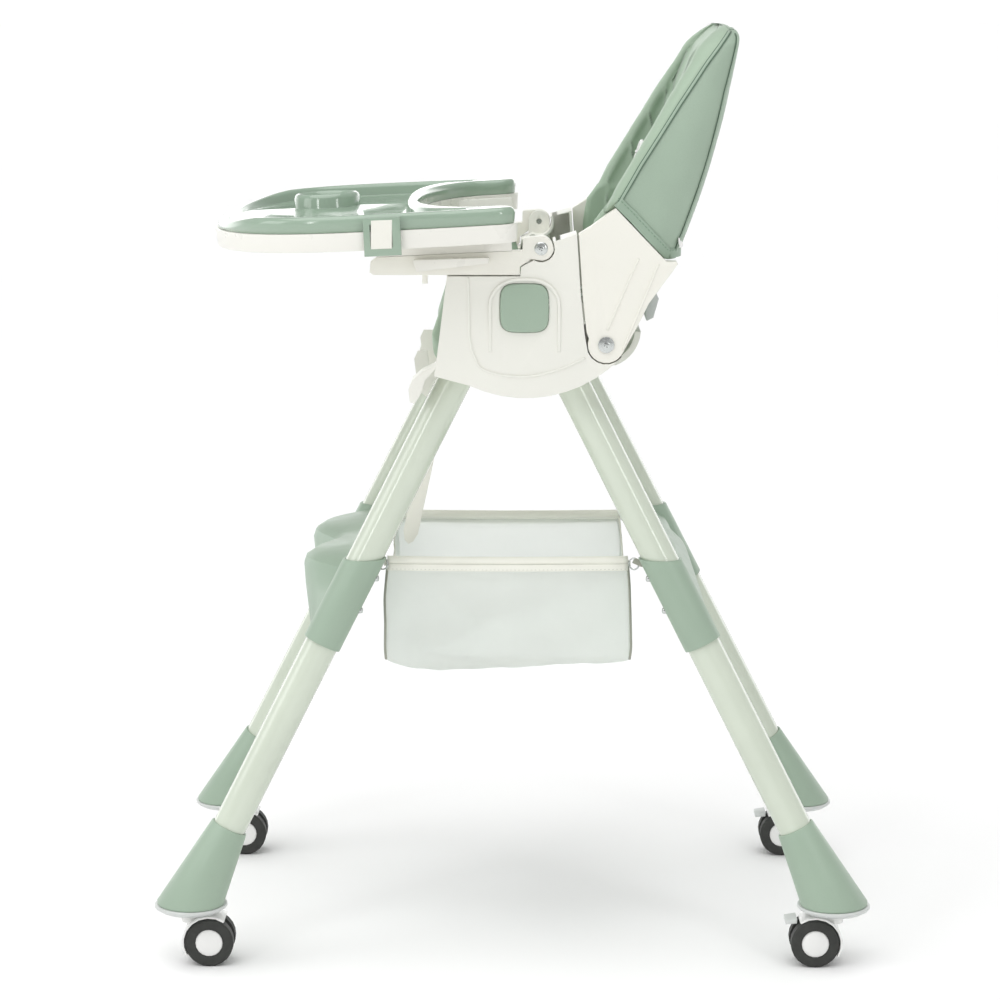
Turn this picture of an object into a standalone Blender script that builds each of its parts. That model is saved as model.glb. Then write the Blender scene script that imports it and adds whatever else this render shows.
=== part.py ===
"""Baby high chair on casters: A-frame legs, reclining seat, swing-up sliding tray, leg rest and basket.

Metres, +Z up, origin on the floor under the middle of the chair. The child faces -Y, and the
child's left is +X. Every object is one closed solid, and neighbours keep FIT of clearance.
"""

import math

import bmesh
import bpy
from mathutils import Matrix, Vector

# ---------------------------------------------------------------- driving dimensions
FIT = 0.0003                 # gap between faces that touch

FOOT = Vector((0.2225, 0.3640, 0.0690))      # leg axis at the foot rim, left rear leg
HUB = Vector((0.1650, 0.0680, 0.6530))       # leg axis where it enters the side housing
LEG_RADIUS = 0.0190
LEG_BORE = 0.0172
LEG_TOP_Z = 0.690
LEG_JOIN_Z = 0.409           # upper and lower tube meet inside the sleeve
LEG_END_Z = 0.092

SLEEVE_RADIUS = 0.0218
SLEEVE_TOP_Z = 0.460
SLEEVE_END_Z = 0.364
PANEL_SKIN = 0.0040

RIM_RADIUS = 0.0412
RIM_BOTTOM_Z = 0.0622
RIM_HEIGHT = 0.0070
CONE_BASE_RADIUS = 0.0385
CONE_TOP_RADIUS = 0.0213
CONE_TOP_Z = 0.156

WHEEL_RADIUS = 0.0275
WHEEL_TRAIL = 0.0215         # axle set back from the swivel axis, towards the chair's middle
TYRE_BORE = 0.0158
TYRE_WIDTH = 0.0135
WHEEL_GAP = 0.0120           # room for the fork between the twin wheels
AXLE_RADIUS = 0.0030
STEM_RADIUS = 0.0050

HOUSING_FACE_X = 0.2100
HOUSING_INNER_X = 0.1500
HOUSING_SKIN = 0.0030
HOUSING_TOP_Z = 0.7795
HOUSING_ARC_CENTRE = (0.0145, 0.7900)        # (y, z) of the rounded underside
HOUSING_ARC_RADIUS = 0.1453
LOBE_X = (0.1795, 0.1890)                    # backing plate behind both pivots

ARM_PIVOT = (0.0314, 0.8100)                 # (y, z)
ARM_X = (0.1915, 0.2085)
ARM_FRONT_Y = -0.1570
ARM_BOTTOM_Z = 0.7808
LUG_RADIUS = 0.0135
LUG_POCKET_RADIUS = 0.0150

RECLINE_PIVOT = (0.1033, 0.7039)             # (y, z)
CHEEK_END_RADIUS = 0.0203
CHEEK_NOTCH_RADIUS = 0.0218
CHEEK_X = (0.1895, 0.2090)

BUTTON_CENTRE = (0.0130, 0.7447)             # (y, z)
BUTTON_HALF = 0.0268
BUTTON_PROUD = 0.0040

PAN_HALF_WIDTH = 0.1425
PAN_SKIN = 0.0035
PAN_FLOOR_Z = 0.6620
PAN_FRONT_Y = -0.0775
PAN_REAR_Y = 0.0760

BACK_HALF_WIDTH = 0.2070
BACK_WING = 0.0330           # thickness of the cover's wings
BACK_PAD = 0.0500            # thickness of the cover behind the child
SHELL_INSET = 0.0120         # from the cover's outside to the shell inside it
SHELL_SKIN = 0.0050
COVER_SKIN = 0.0245          # depth of the cover's outer layer at its wings
HEM_Z = 0.7995               # lowest line of the cover's outside
CHEEK_TOP_Z = 0.8580         # above this the cover's outside reaches forward over the cheek

TRAY_TILT = math.radians(2.7)
TRAY_ORIGIN = Vector((0.0, -0.1200, 0.8350))
TRAY_HALF_WIDTH = 0.2760
TRAY_MIDDLE_Y = -0.0300      # widest line, in the tray's own frame
TRAY_FRONT_REACH = 0.1915
TRAY_HORN_RADIUS = 0.0240
TRAY_BELLY_HALF = 0.2150
TRAY_BELLY_DEPTH = 0.0880
TRAY_HORN_DECK = 0.0420       # length of the flat top at each horn's end
TRAY_BASE_HEIGHT = 0.0200
TRAY_RIM_HEIGHT = 0.0180
TRAY_FLOOR = 0.0035
TRAY_RAIL_DROP = 0.0330      # from the tray's seam down to the rails' running face
CUP_CENTRE = (-0.1000, -0.1020)              # in the tray's own frame
CUP_RADIUS = 0.0400

REST_HINGE = (-0.0790, 0.6500)               # (y, z)
REST_FOOT = (-0.1205, 0.4590)                # lower end of the leg rest
REST_HALF_WIDTH = 0.1000
REST_THICKNESS = 0.0170

BASKET_HALF_WIDTH = 0.1530
BASKET_Y = (-0.1420, 0.1300)
BASKET_RIM_Z = 0.4440
BASKET_FLOOR_Z = 0.3000
BASKET_SKIN = 0.0040
ROD_RADIUS = 0.0035
ROD_Z = 0.4485

SIDES = {"left": 1, "right": -1}
ENDS = {"front": -1, "rear": 1}

COLOURS = {
    "sage_plastic": ((0.352, 0.497, 0.367), 0.32, 0.0),
    "cream_plastic": ((0.800, 0.820, 0.760), 0.28, 0.0),
    "white_plastic": ((0.860, 0.860, 0.850), 0.30, 0.0),
    "leg_enamel": ((0.640, 0.700, 0.560), 0.22, 0.0),
    "tyre_rubber": ((0.030, 0.032, 0.030), 0.65, 0.0),
    "sage_leather": ((0.360, 0.510, 0.390), 0.48, 0.0),
    "pale_mesh_fabric": ((0.780, 0.840, 0.770), 0.90, 0.0),
    "steel": ((0.560, 0.570, 0.580), 0.30, 1.0),
    "grey_plastic": ((0.260, 0.270, 0.270), 0.45, 0.0),
}


# ---------------------------------------------------------------- scene helpers
def clear_scene():
    """Remove whatever objects the file opened with."""
    for obj in list(bpy.data.objects):
        bpy.data.objects.remove(obj, do_unlink=True)


def material_for(node, look):
    """A Principled material of the node's own."""
    colour, roughness, metallic = COLOURS[look]
    mat = bpy.data.materials.new(f"{node}_{look}")
    mat.use_nodes = True
    shader = mat.node_tree.nodes["Principled BSDF"]
    shader.inputs["Base Color"].default_value = (*colour, 1.0)
    shader.inputs["Roughness"].default_value = roughness
    shader.inputs["Metallic"].default_value = metallic
    return mat


def add_object(name, bm, look, origin=(0, 0, 0), sharp_deg=35):
    """Store a bmesh made in world coordinates as a named object with its origin at a joint or centre."""
    bmesh.ops.recalc_face_normals(bm, faces=bm.faces)
    bm.transform(Matrix.Translation(-Vector(origin)))
    mesh = bpy.data.meshes.new(name)
    bm.to_mesh(mesh)
    bm.free()
    mesh.shade_smooth()
    mesh.set_sharp_from_angle(angle=math.radians(sharp_deg))
    obj = bpy.data.objects.new(name, mesh)
    obj.location = origin
    obj.data.materials.append(material_for(name, look))
    bpy.context.scene.collection.objects.link(obj)
    return obj


def combine(bm, others, operation):
    """Boolean the solids in others with bm one after the other, and return the new bmesh."""
    for other in others:
        pieces = []
        for index, part in enumerate((bm, other)):
            bmesh.ops.recalc_face_normals(part, faces=part.faces)
            mesh = bpy.data.meshes.new(f"boolean_{index}")
            part.to_mesh(mesh)
            part.free()
            obj = bpy.data.objects.new(f"boolean_{index}", mesh)
            bpy.context.scene.collection.objects.link(obj)
            pieces.append(obj)
        target, cutter = pieces
        modifier = target.modifiers.new("boolean", "BOOLEAN")
        modifier.operation = operation
        modifier.solver = "EXACT"
        modifier.object = cutter
        graph = bpy.context.evaluated_depsgraph_get()
        bm = bmesh.new()
        bm.from_mesh(target.evaluated_get(graph).to_mesh())
        bmesh.ops.remove_doubles(bm, verts=bm.verts, dist=1e-6)
        for obj in pieces:
            mesh = obj.data
            bpy.data.objects.remove(obj, do_unlink=True)
            bpy.data.meshes.remove(mesh)
    return bm


def union(bm, *others):
    return combine(bm, others, "UNION")


def cut(bm, *others):
    return combine(bm, others, "DIFFERENCE")


# ---------------------------------------------------------------- solid helpers
def loft(rings, wrap=False):
    """Skin a list of equal rings into a closed solid: capped at both ends, or joined back to the first."""
    bm = bmesh.new()
    loops = [[bm.verts.new(point) for point in ring] for ring in rings]
    pairs = list(zip(loops, loops[1:]))
    if wrap:
        pairs.append((loops[-1], loops[0]))
    count = len(loops[0])
    for low, high in pairs:
        for i in range(count):
            j = (i + 1) % count
            bm.faces.new((low[i], low[j], high[j], high[i]))
    if not wrap:
        bm.faces.new(loops[0])
        bm.faces.new(loops[-1])
    return bm


def prism(outline, x0, x1):
    """A (y, z) outline extruded along X."""
    return loft([[(x, y, z) for y, z in outline] for x in (x0, x1)])


def block(x, y, z):
    """An axis-aligned box from three (low, high) pairs."""
    return prism([(y[0], z[0]), (y[1], z[0]), (y[1], z[1]), (y[0], z[1])], *x)


def arc(centre, radius, start_deg, end_deg, steps):
    """Points (y, z) on a circle arc, both ends included."""
    points = []
    for i in range(steps + 1):
        angle = math.radians(start_deg + (end_deg - start_deg) * i / steps)
        points.append((centre[0] + radius * math.cos(angle), centre[1] + radius * math.sin(angle)))
    return points


def disc_x(centre, radius, x0, x1, sides=24):
    """A cylinder along X around a (y, z) centre."""
    return prism(arc(centre, radius, 0, 360 * (sides - 1) / sides, sides - 1), x0, x1)


def lathe_x(profile, centre, sides=24, wrap=False):
    """Turn a profile of (x, radius) points around the X direction through a (y, z) centre."""
    rings = []
    for x, radius in profile:
        circle = arc(centre, radius, 0, 360 * (sides - 1) / sides, sides - 1)
        rings.append([(x, y, z) for y, z in circle])
    return loft(rings, wrap)


def lathe_z(profile, centre, sides=24, wrap=False):
    """Turn a profile of (radius, z) points around the Z direction through an (x, y) centre."""
    rings = []
    for radius, z in profile:
        circle = arc(centre, radius, 0, 360 * (sides - 1) / sides, sides - 1)
        rings.append([(x, y, z) for x, y in circle])
    return loft(rings, wrap)


def smooth(t):
    """Smoothstep, clamped to 0..1."""
    t = min(max(t, 0.0), 1.0)
    return t * t * (3 - 2 * t)


# ---------------------------------------------------------------- legs and feet
def leg_point(side, end, z):
    """The leg axis of one corner at height z. Legs lean in both ways from foot to hub."""
    t = (z - FOOT.z) / (HUB.z - FOOT.z)
    point = FOOT.lerp(HUB, t)
    return Vector((side * point.x, end * point.y, z))


def leg_axes(side, end):
    """Two unit vectors across the leg and one along it."""
    axis = (leg_point(side, end, 1.0) - leg_point(side, end, 0.0)).normalized()
    across = axis.cross(Vector((0, 1, 0))).normalized()
    return across, axis.cross(across), axis


def leg_ring(side, end, z, radius, sides=20, level=False):
    """A ring of the leg's cylinder at height z, square to the axis or cut level."""
    across, along, axis = leg_axes(side, end)
    centre = leg_point(side, end, z)
    ring = []
    for i in range(sides):
        angle = math.tau * i / sides
        point = centre + (across * math.cos(angle) + along * math.sin(angle)) * radius
        if level:
            point += axis * ((z - point.z) / axis.z)
        ring.append(point)
    return ring


def leg_rod(side, end, z0, z1, radius, sides=20, level=False):
    return loft([leg_ring(side, end, z, radius, sides, level) for z in (z0, z1)])


def leg_tube(name, side, end, z0, z1):
    """An open-ended round tube along the leg axis."""
    rings = [leg_ring(side, end, z, radius)
             for z, radius in ((z0, LEG_RADIUS), (z1, LEG_RADIUS), (z1, LEG_BORE), (z0, LEG_BORE))]
    add_object(name, loft(rings, wrap=True), "leg_enamel", leg_point(side, end, z0))


def foot_cone(name, side, end):
    """The flared boot on the leg's end, with a blind bore that takes the tube."""
    z_base = RIM_BOTTOM_Z + RIM_HEIGHT + FIT
    base = leg_point(side, end, FOOT.z)
    sides = 24
    across, along = (Vector((v.x, v.y, 0)).normalized() for v in leg_axes(side, end)[:2])
    rings = []
    for z in (z_base, z_base + 0.003):
        ring = []
        for i in range(sides):
            angle = math.tau * i / sides
            out = across * math.cos(angle) + along * math.sin(angle)
            ring.append(Vector((base.x, base.y, z)) + out * CONE_BASE_RADIUS)
        rings.append(ring)
    rings.append(leg_ring(side, end, CONE_TOP_Z, CONE_TOP_RADIUS, sides))
    rings.append(leg_ring(side, end, CONE_TOP_Z, LEG_RADIUS + FIT, sides))
    rings.append(leg_ring(side, end, LEG_END_Z - 0.001, LEG_RADIUS + FIT, sides))
    add_object(name, loft(rings), "sage_plastic", base)


def foot_rim(name, side, end):
    """The pale dished ring under the boot, bored for the caster's stem."""
    base = leg_point(side, end, FOOT.z)
    z = RIM_BOTTOM_Z
    bore = STEM_RADIUS + 0.0005
    profile = [(bore, z), (RIM_RADIUS - 0.006, z), (RIM_RADIUS, z + 0.004), (RIM_RADIUS, z + RIM_HEIGHT),
               (bore, z + RIM_HEIGHT)]
    add_object(name, lathe_z(profile, (base.x, base.y), 24, wrap=True), "white_plastic", base)


def caster(corner, side, end, braked):
    """A twin-wheel swivel caster: hood with stem, wheel pair on its axle, two tyres and maybe a brake."""
    base = leg_point(side, end, FOOT.z)
    axle = (base.y - end * WHEEL_TRAIL, WHEEL_RADIUS)
    stem_top = RIM_BOTTOM_Z + RIM_HEIGHT - 0.001

    fork_half = WHEEL_GAP / 2 - 0.0008
    outer = WHEEL_GAP / 2 + TYRE_WIDTH
    hood_radius = WHEEL_RADIUS + 0.0035
    outward = 0 if end > 0 else 180
    top = arc(axle, hood_radius, outward - end * 30, outward + end * 125, 8)
    under = arc(axle, WHEEL_RADIUS + 0.0012, outward + end * 125, outward - end * 30, 8)
    fender = prism(top + under, base.x - outer + 0.001, base.x + outer - 0.001)
    fork = prism(top + arc(axle, 0.0085, outward + end * 130, outward + end * 320, 6),
                 base.x - fork_half, base.x + fork_half)
    stem = lathe_z([(0.0110, hood_radius + WHEEL_RADIUS - 0.010), (0.0110, RIM_BOTTOM_Z - FIT),
                    (STEM_RADIUS, RIM_BOTTOM_Z - FIT), (STEM_RADIUS, stem_top)], (base.x, base.y), 12)
    wheels_room = [disc_x(axle, WHEEL_RADIUS + 0.0010, base.x + s * (WHEEL_GAP / 2 - 0.0002),
                          base.x + s * (outer + 0.002), 20) for s in (1, -1)]
    hood = union(fender, fork, stem)
    hood = cut(hood, *wheels_room, disc_x(axle, AXLE_RADIUS + 0.0004, base.x - 0.02, base.x + 0.02, 10))
    add_object(f"caster_hood_{corner}", hood, "white_plastic", (base.x, base.y, RIM_BOTTOM_Z))

    hub = TYRE_BORE - FIT
    half = WHEEL_GAP / 2
    profile = [(-outer - 0.0005, hub * 0.8), (-outer + 0.001, hub), (-half, hub), (-half, AXLE_RADIUS),
               (half, AXLE_RADIUS), (half, hub), (outer - 0.001, hub), (outer + 0.0005, hub * 0.8)]
    profile = [(base.x + x, radius) for x, radius in profile]
    add_object(f"wheel_pair_{corner}", lathe_x(profile, axle, 18), "white_plastic", (base.x, *axle))

    for label, s in (("outer", side), ("inner", -side)):
        x0, x1 = half, outer
        tread = [(x0, TYRE_BORE), (x0, WHEEL_RADIUS), (x1 - 0.0018, WHEEL_RADIUS),
                 (x1, WHEEL_RADIUS - 0.0018), (x1, TYRE_BORE)]
        tread = [(base.x + s * x, radius) for x, radius in tread]
        tyre = lathe_x(tread, axle, 24, wrap=True)
        add_object(f"tyre_{label}_{corner}", tyre, "tyre_rubber", (base.x, *axle))

    if braked:
        pivot = (axle[0] - end * 0.0235, axle[1] + 0.0245)
        pedal = [(pivot[0] + end * 0.0030, pivot[1] - 0.0022), (pivot[0] + end * 0.0030, pivot[1] + 0.0032),
                 (pivot[0] - end * 0.0100, pivot[1] + 0.0010), (pivot[0] - end * 0.0100, pivot[1] - 0.0030)]
        add_object(f"brake_lever_{corner}", prism(pedal, base.x - 0.013, base.x + 0.013),
                   "grey_plastic", (base.x, *pivot))


# ---------------------------------------------------------------- cross panels
def panel_section(end, x):
    """The (y, z) C-section of a cross panel at lateral place x: top, face and a short lower lip."""
    across = abs(x) / leg_point(1, 1, SLEEVE_TOP_Z).x
    hug = abs(leg_point(1, 1, SLEEVE_TOP_Z).y)
    if end < 0:
        lobes = math.sin(math.pi * min(across * 1.05, 1.0)) ** 1.5
        swell = 0.026 * (1 - across ** 6) + 0.030 * lobes
    else:
        swell = 0.008 * (1 - across ** 4)
    top_y = hug + 0.020 + swell
    low_y = abs(leg_point(1, 1, SLEEVE_END_Z + 0.010).y) + 0.016 + swell * 0.15
    back = hug - 0.014
    z_top, z_low, s = SLEEVE_TOP_Z - 0.001, SLEEVE_END_Z + 0.010, PANEL_SKIN
    outer = [(back, z_top), (top_y - 0.014, z_top - 0.006), (top_y - 0.003, z_top - 0.013),
             (top_y, z_top - 0.022), ((top_y + low_y) / 2 + 0.002, (z_top + z_low) / 2),
             (low_y, z_low), (low_y - 0.014, z_low - 0.002)]
    inner = [(low_y - 0.014, z_low + s - 0.002), (low_y - s, z_low + s),
             ((top_y + low_y) / 2 + 0.002 - s, (z_top + z_low) / 2), (top_y - s, z_top - 0.022),
             (top_y - 0.003 - s, z_top - 0.013 - s * 0.6), (top_y - 0.014 - s * 0.5, z_top - 0.006 - s),
             (back, z_top - s)]
    return [(x, end * y, z) for y, z in outer + inner]


def cross_panel(name, end):
    """The moulding that joins both legs of one end: two sleeves and a hollow panel between them."""
    steps = 18
    limit = leg_point(1, 1, SLEEVE_TOP_Z).x - 0.004
    panel = loft([panel_section(end, -limit + 2 * limit * i / steps) for i in range(steps + 1)])
    sleeves = []
    for side in SIDES.values():
        rings = [leg_ring(side, end, SLEEVE_END_Z, SLEEVE_RADIUS, 20),
                 leg_ring(side, end, SLEEVE_TOP_Z, SLEEVE_RADIUS, 20, level=True)]
        sleeves.append(loft(rings))
    bores = [leg_rod(side, end, 0.33, 0.49, LEG_RADIUS + FIT) for side in SIDES.values()]
    body = cut(union(panel, *sleeves), *bores)
    add_object(name, body, "sage_plastic", (0, end * leg_point(1, 1, SLEEVE_TOP_Z).y, SLEEVE_TOP_Z))


# ---------------------------------------------------------------- side housings and buttons
def housing_outline(inset=0.0):
    """The (y, z) outline of the side shell. A positive inset gives the hollow inside it."""
    under_end, notch_start = (-60, -135) if inset else (-43.5, -38)
    under = arc(HOUSING_ARC_CENTRE, HOUSING_ARC_RADIUS - inset, -115, under_end, 10)
    notch = arc(RECLINE_PIVOT, CHEEK_NOTCH_RADIUS + inset, notch_start, -158, 6)
    front = [(-0.0722 + inset, HOUSING_TOP_Z - inset), (-0.0852 + inset, 0.6772),
             (-0.0870 + inset * 1.2, 0.6690 + inset)]
    seam = [(0.0795 - inset, 0.7156), (0.0751 - inset, 0.7579), (0.0706 - inset, 0.8253 - inset)]
    pocket = arc(ARM_PIVOT, LUG_POCKET_RADIUS + inset, 30, -122, 9)
    step = [(0.0095 + inset * 0.4, 0.7900 - inset), (0.0085, HOUSING_TOP_Z - inset)]
    pocket = [p for p in pocket if p[0] > 0.0150 + inset]
    return front + under + notch + seam + pocket + step


def squircle(centre, half, steps=28, power=4.0):
    points = []
    for i in range(steps):
        c, s = math.cos(math.tau * i / steps), math.sin(math.tau * i / steps)
        points.append((centre[0] + half * math.copysign(abs(c) ** (2 / power), c),
                       centre[1] + half * math.copysign(abs(s) ** (2 / power), s)))
    return points


def side_housing(name, side):
    """The side shell around both leg tops, open inboard.

    It has backing lobes behind the two pivots and a curled lip in front of the front leg's mouth.
    """
    face = side * HOUSING_FACE_X
    shell = prism(housing_outline(), side * HOUSING_INNER_X, face)
    open_x = side * (HOUSING_INNER_X - 0.005)
    shell = cut(shell, prism(housing_outline(HOUSING_SKIN), open_x, face - side * HOUSING_SKIN))
    x0, x1 = side * LOBE_X[0], side * LOBE_X[1]
    arm_lobe = prism(arc(ARM_PIVOT, 0.0130, -10, 190, 12) + [(0.0184, 0.7600), (0.0444, 0.7600)], x0, x1)
    web = [(0.0600, 0.7250), (0.0600, 0.6560), (0.1000, 0.6740)]
    back_lobe = prism(arc(RECLINE_PIVOT, 0.0190, -60, 90, 10) + web, x0, x1)
    curl = [(-0.0830, 0.6830), (-0.0880, 0.6790), (-0.1000, 0.6735), (-0.1110, 0.6640),
            (-0.1149, 0.6538), (-0.1135, 0.6400), (-0.1080, 0.6385), (-0.1020, 0.6480),
            (-0.0966, 0.6648), (-0.0830, 0.6785)]
    lip = prism(curl, side * 0.1700, side * 0.2090)
    shell = union(shell, arm_lobe, back_lobe, lip)
    opening = squircle(BUTTON_CENTRE, BUTTON_HALF + 0.0006)
    cutters = [prism(opening, face - side * 0.012, face + side * 0.004),
               disc_x(ARM_PIVOT, 0.0034, side * 0.170, side * 0.196, 12),
               disc_x(RECLINE_PIVOT, 0.0044, side * 0.170, side * 0.196, 12)]
    for end in ENDS.values():
        cutters.append(leg_rod(side, end, 0.58, 0.70, LEG_RADIUS + 0.0012))
    add_object(name, cut(shell, *cutters), "cream_plastic", (face, *HOUSING_ARC_CENTRE))


def side_button(name, side):
    """The soft-square release button, standing proud of the side shell."""
    face = side * (HOUSING_FACE_X + BUTTON_PROUD)
    levels = [(face - side * 0.0160, BUTTON_HALF), (face - side * 0.0022, BUTTON_HALF),
              (face - side * 0.0006, BUTTON_HALF - 0.0010), (face, BUTTON_HALF - 0.0035)]
    rings = [[(x, y, z) for y, z in squircle(BUTTON_CENTRE, half)] for x, half in levels]
    add_object(name, loft(rings), "sage_plastic", (face, *BUTTON_CENTRE))


# ---------------------------------------------------------------- seat
def seat_pan():
    """The moulded seat base: floor, side walls with top flanges, rear wall, quadrant and leg-rest ears."""
    w, s = PAN_HALF_WIDTH, PAN_SKIN
    flange_x, flange_z = 0.1880, HOUSING_TOP_Z + FIT
    half = [(w - 0.020, PAN_FLOOR_Z), (w, PAN_FLOOR_Z + 0.020), (w, flange_z), (flange_x, flange_z),
            (flange_x, flange_z + s), (w - s, flange_z + s), (w - s, PAN_FLOOR_Z + 0.0215),
            (w - 0.0215, PAN_FLOOR_Z + s)]
    section = half + [(-x, z) for x, z in reversed(half)]
    flanges_end = 0.0040
    channel = loft([[(x, y, z) for x, z in section] for y in (PAN_FRONT_Y + 0.012, flanges_end)])
    low = [(x, min(z, 0.7000)) for x, z in half[:3]] + [(w - s, 0.7000)] + half[6:]
    low_section = low + [(-x, z) for x, z in reversed(low)]
    rear_part = loft([[(x, y, z) for x, z in low_section] for y in (flanges_end - 0.001, PAN_REAR_Y)])
    rear_wall = block((-w + 0.010, w - 0.010), (PAN_REAR_Y - s, PAN_REAR_Y), (PAN_FLOOR_Z + 0.012, 0.7000))
    floor_rear = block((-w + 0.022, w - 0.022), (PAN_REAR_Y - 0.01, 0.1000), (PAN_FLOOR_Z, PAN_FLOOR_Z + s))
    quadrant = prism([(0.0900, PAN_FLOOR_Z)] + arc(RECLINE_PIVOT, 0.0440, -70, -3, 8)
                     + arc(RECLINE_PIVOT, 0.0370, -3, -85, 8) + [(0.0900, 0.6680)], -0.0600, 0.0600)
    ears = []
    for side in SIDES.values():
        outline = [(-0.0600, 0.6650), (-0.0950, 0.6660), (-0.0970, 0.6850), (-0.1080, 0.6850),
                   (-0.1120, 0.6760), (-0.1080, 0.6400), (-0.0980, 0.6320), (-0.0720, 0.6380),
                   (-0.0600, 0.6500)]
        ears.append(prism(outline, side * 0.1035, side * 0.1080))
    body = union(channel, rear_part, rear_wall, floor_rear, quadrant, *ears)
    holes = [disc_x(REST_HINGE, 0.0036, side * 0.100, side * 0.112, 12) for side in SIDES.values()]
    add_object("seat_pan", cut(body, *holes), "cream_plastic", (0, 0, PAN_FLOOR_Z))


def seat_cushion():
    """The seat pad: floor pad with raised side rolls and a front roll."""
    w = PAN_HALF_WIDTH - PAN_SKIN - 0.0015
    floor, top = PAN_FLOOR_Z + PAN_SKIN + 0.0010, 0.7020
    rings = []
    for y, low, roll in ((-0.0940, 0.690, 0.002), (-0.0900, 0.678, 0.012), (-0.0700, floor, 0.075),
                         (-0.0200, floor, 0.088), (0.0020, floor, 0.088), (0.0300, floor, 0.010),
                         (0.0700, floor, 0.000)):
        ring = [(w - 0.022, low), (w, low + 0.022), (w, max(top + roll, low + 0.023)),
                (w - 0.004, top + roll + 0.004), (w - 0.020, top + roll + 0.004),
                (w - 0.030, top + roll * 0.5), (w - 0.045, top)]
        ring = ring + [(-x, z) for x, z in reversed(ring)]
        rings.append([(x, y, z) for x, z in ring])
    add_object("seat_cushion", loft(rings), "sage_leather", (0, 0, floor))


# ---------------------------------------------------------------- backrest
def back_rear_y(z):
    """Rear line of the backrest, leaning back about 20 degrees and easing upright to the top."""
    return 0.1833 + 0.403 * (z - 0.80) - 0.472 * (z - 0.80) ** 2


def hem_front_y(z):
    """Front edge of the cover's outside below CHEEK_TOP_Z, where its hem follows the cheek."""
    return 0.1705 + (0.1143 - 0.1705) * (z - 0.797) / (0.857 - 0.797)


def roll_front_y(z):
    """Front edge of the wings' padded roll, leaning back towards the top."""
    return max(0.0840, 0.0895 + 0.612 * (z - 0.8476))


def wing_front_y(z):
    return hem_front_y(z) if z < CHEEK_TOP_Z else roll_front_y(z)


def back_half_width(z):
    if z <= 0.86:
        return BACK_HALF_WIDTH
    return BACK_HALF_WIDTH - 0.060 * ((z - 0.86) / 0.17) ** 2


def u_ring(z, width, front, rear, wing, pad, corner, inner_corner):
    """A U-shaped (x, y) ring open towards the child: rear line, side, tip, then the inner skin back."""
    corner = min(corner, (rear - front) * 0.8)
    pad_face = rear - pad
    hollow = width - wing
    half = [(width * 0.35, rear + 0.004)]
    half += reversed(arc((width - corner, rear - corner), corner, 0, 90, 4))
    half += [(width, front + 0.002), (width - 0.002, front), (hollow + 0.001, front + 0.001)]
    inner_corner = min(inner_corner, (pad_face - front) * 0.8)
    half += arc((hollow - inner_corner, pad_face - inner_corner), inner_corner, 0, 90, 4)
    half += [(width * 0.35, pad_face + 0.004)]
    mirror = [(-x, y) for x, y in reversed(half)]
    return [(x, y, z) for x, y in half + mirror]


def cover_skin_ring(z, width, depth=0.022):
    """The cover's outer layer, which wraps the shell from the hem up."""
    rear = back_rear_y(z)
    if z < CHEEK_TOP_Z:
        depth = min(depth, (rear - wing_front_y(z)) * 0.7)
    front = min(wing_front_y(z), rear - depth - 0.004)
    return u_ring(z, width, front, rear, COVER_SKIN, depth, 0.045, 0.030)


def pad_ring(z, pad=BACK_PAD):
    """The padding in front of the shell, with a roll down each side."""
    rear = back_rear_y(z) - SHELL_INSET - SHELL_SKIN - 0.0015
    width = back_half_width(z) - COVER_SKIN + 0.004 - 0.009 * smooth((0.760 - z) / 0.015)
    front = min(back_rear_y(z) - pad - 0.006, roll_front_y(z) + 0.001)
    return u_ring(z, width, front, rear, BACK_WING - COVER_SKIN + 0.004, pad - 0.018, 0.045, 0.040)


def shell_ring(z, grow=0.0):
    """The hard shell's section inside the cover; grow widens it into the pocket it sits in."""
    rear = back_rear_y(z) - SHELL_INSET + grow
    width = back_half_width(min(z, 1.03)) - SHELL_INSET + grow
    front = min(roll_front_y(max(z, CHEEK_TOP_Z)) + 0.034, rear - grow - 0.030) - grow
    skin = SHELL_SKIN + 2 * grow
    corner = 0.035
    half = [(width * 0.35, rear + 0.004)]
    half += reversed(arc((width - corner, rear - corner), corner, 20, 90, 4))
    half += [(width, front + 0.001), (width - skin, front)]
    half += arc((width - corner, rear - corner), corner - skin, 20, 90, 4)
    half += [(width * 0.35, rear + 0.004 - skin)]
    mirror = [(-x, y) for x, y in reversed(half)]
    return [(x, y, z) for x, y in half + mirror]


def backrest_shell():
    """The reclining hard shell: cheeks that hang on the pivots, and a U-shaped back inside the cover."""
    body = loft([shell_ring(0.800 + 0.222 * i / 8) for i in range(9)])
    plate = []
    for z in (0.7500, 0.7800, 0.8020):
        rear = back_rear_y(z) - SHELL_INSET
        half = [(0.068, rear + 0.004), (0.160, rear), (0.1905, rear - 0.016), (0.1905, rear - 0.024),
                (0.160, rear - SHELL_SKIN), (0.068, rear + 0.004 - SHELL_SKIN)]
        plate.append([(x, y, z) for x, y in half + [(-x, y) for x, y in reversed(half)]])
    cheek = [(0.0725, 0.8255), (0.0770, 0.7580), (0.0815, 0.7180)]
    cheek += arc(RECLINE_PIVOT, CHEEK_END_RADIUS, 160, 330, 10)
    cheek += [(0.1374, 0.7241), (0.1498, 0.7495), (0.1815, 0.7930), (0.1800, 0.7955), (0.1690, 0.7955),
              (0.1130, 0.8540), (0.0862, 0.8340)]
    cheeks = [prism(cheek, side * CHEEK_X[0], side * CHEEK_X[1]) for side in SIDES.values()]
    body = union(body, loft(plate), *cheeks)
    holes = [disc_x(RECLINE_PIVOT, 0.0044, side * 0.185, side * 0.215, 12) for side in SIDES.values()]
    add_object("backrest_shell", cut(body, *holes), "cream_plastic", (0, *RECLINE_PIVOT))


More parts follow.
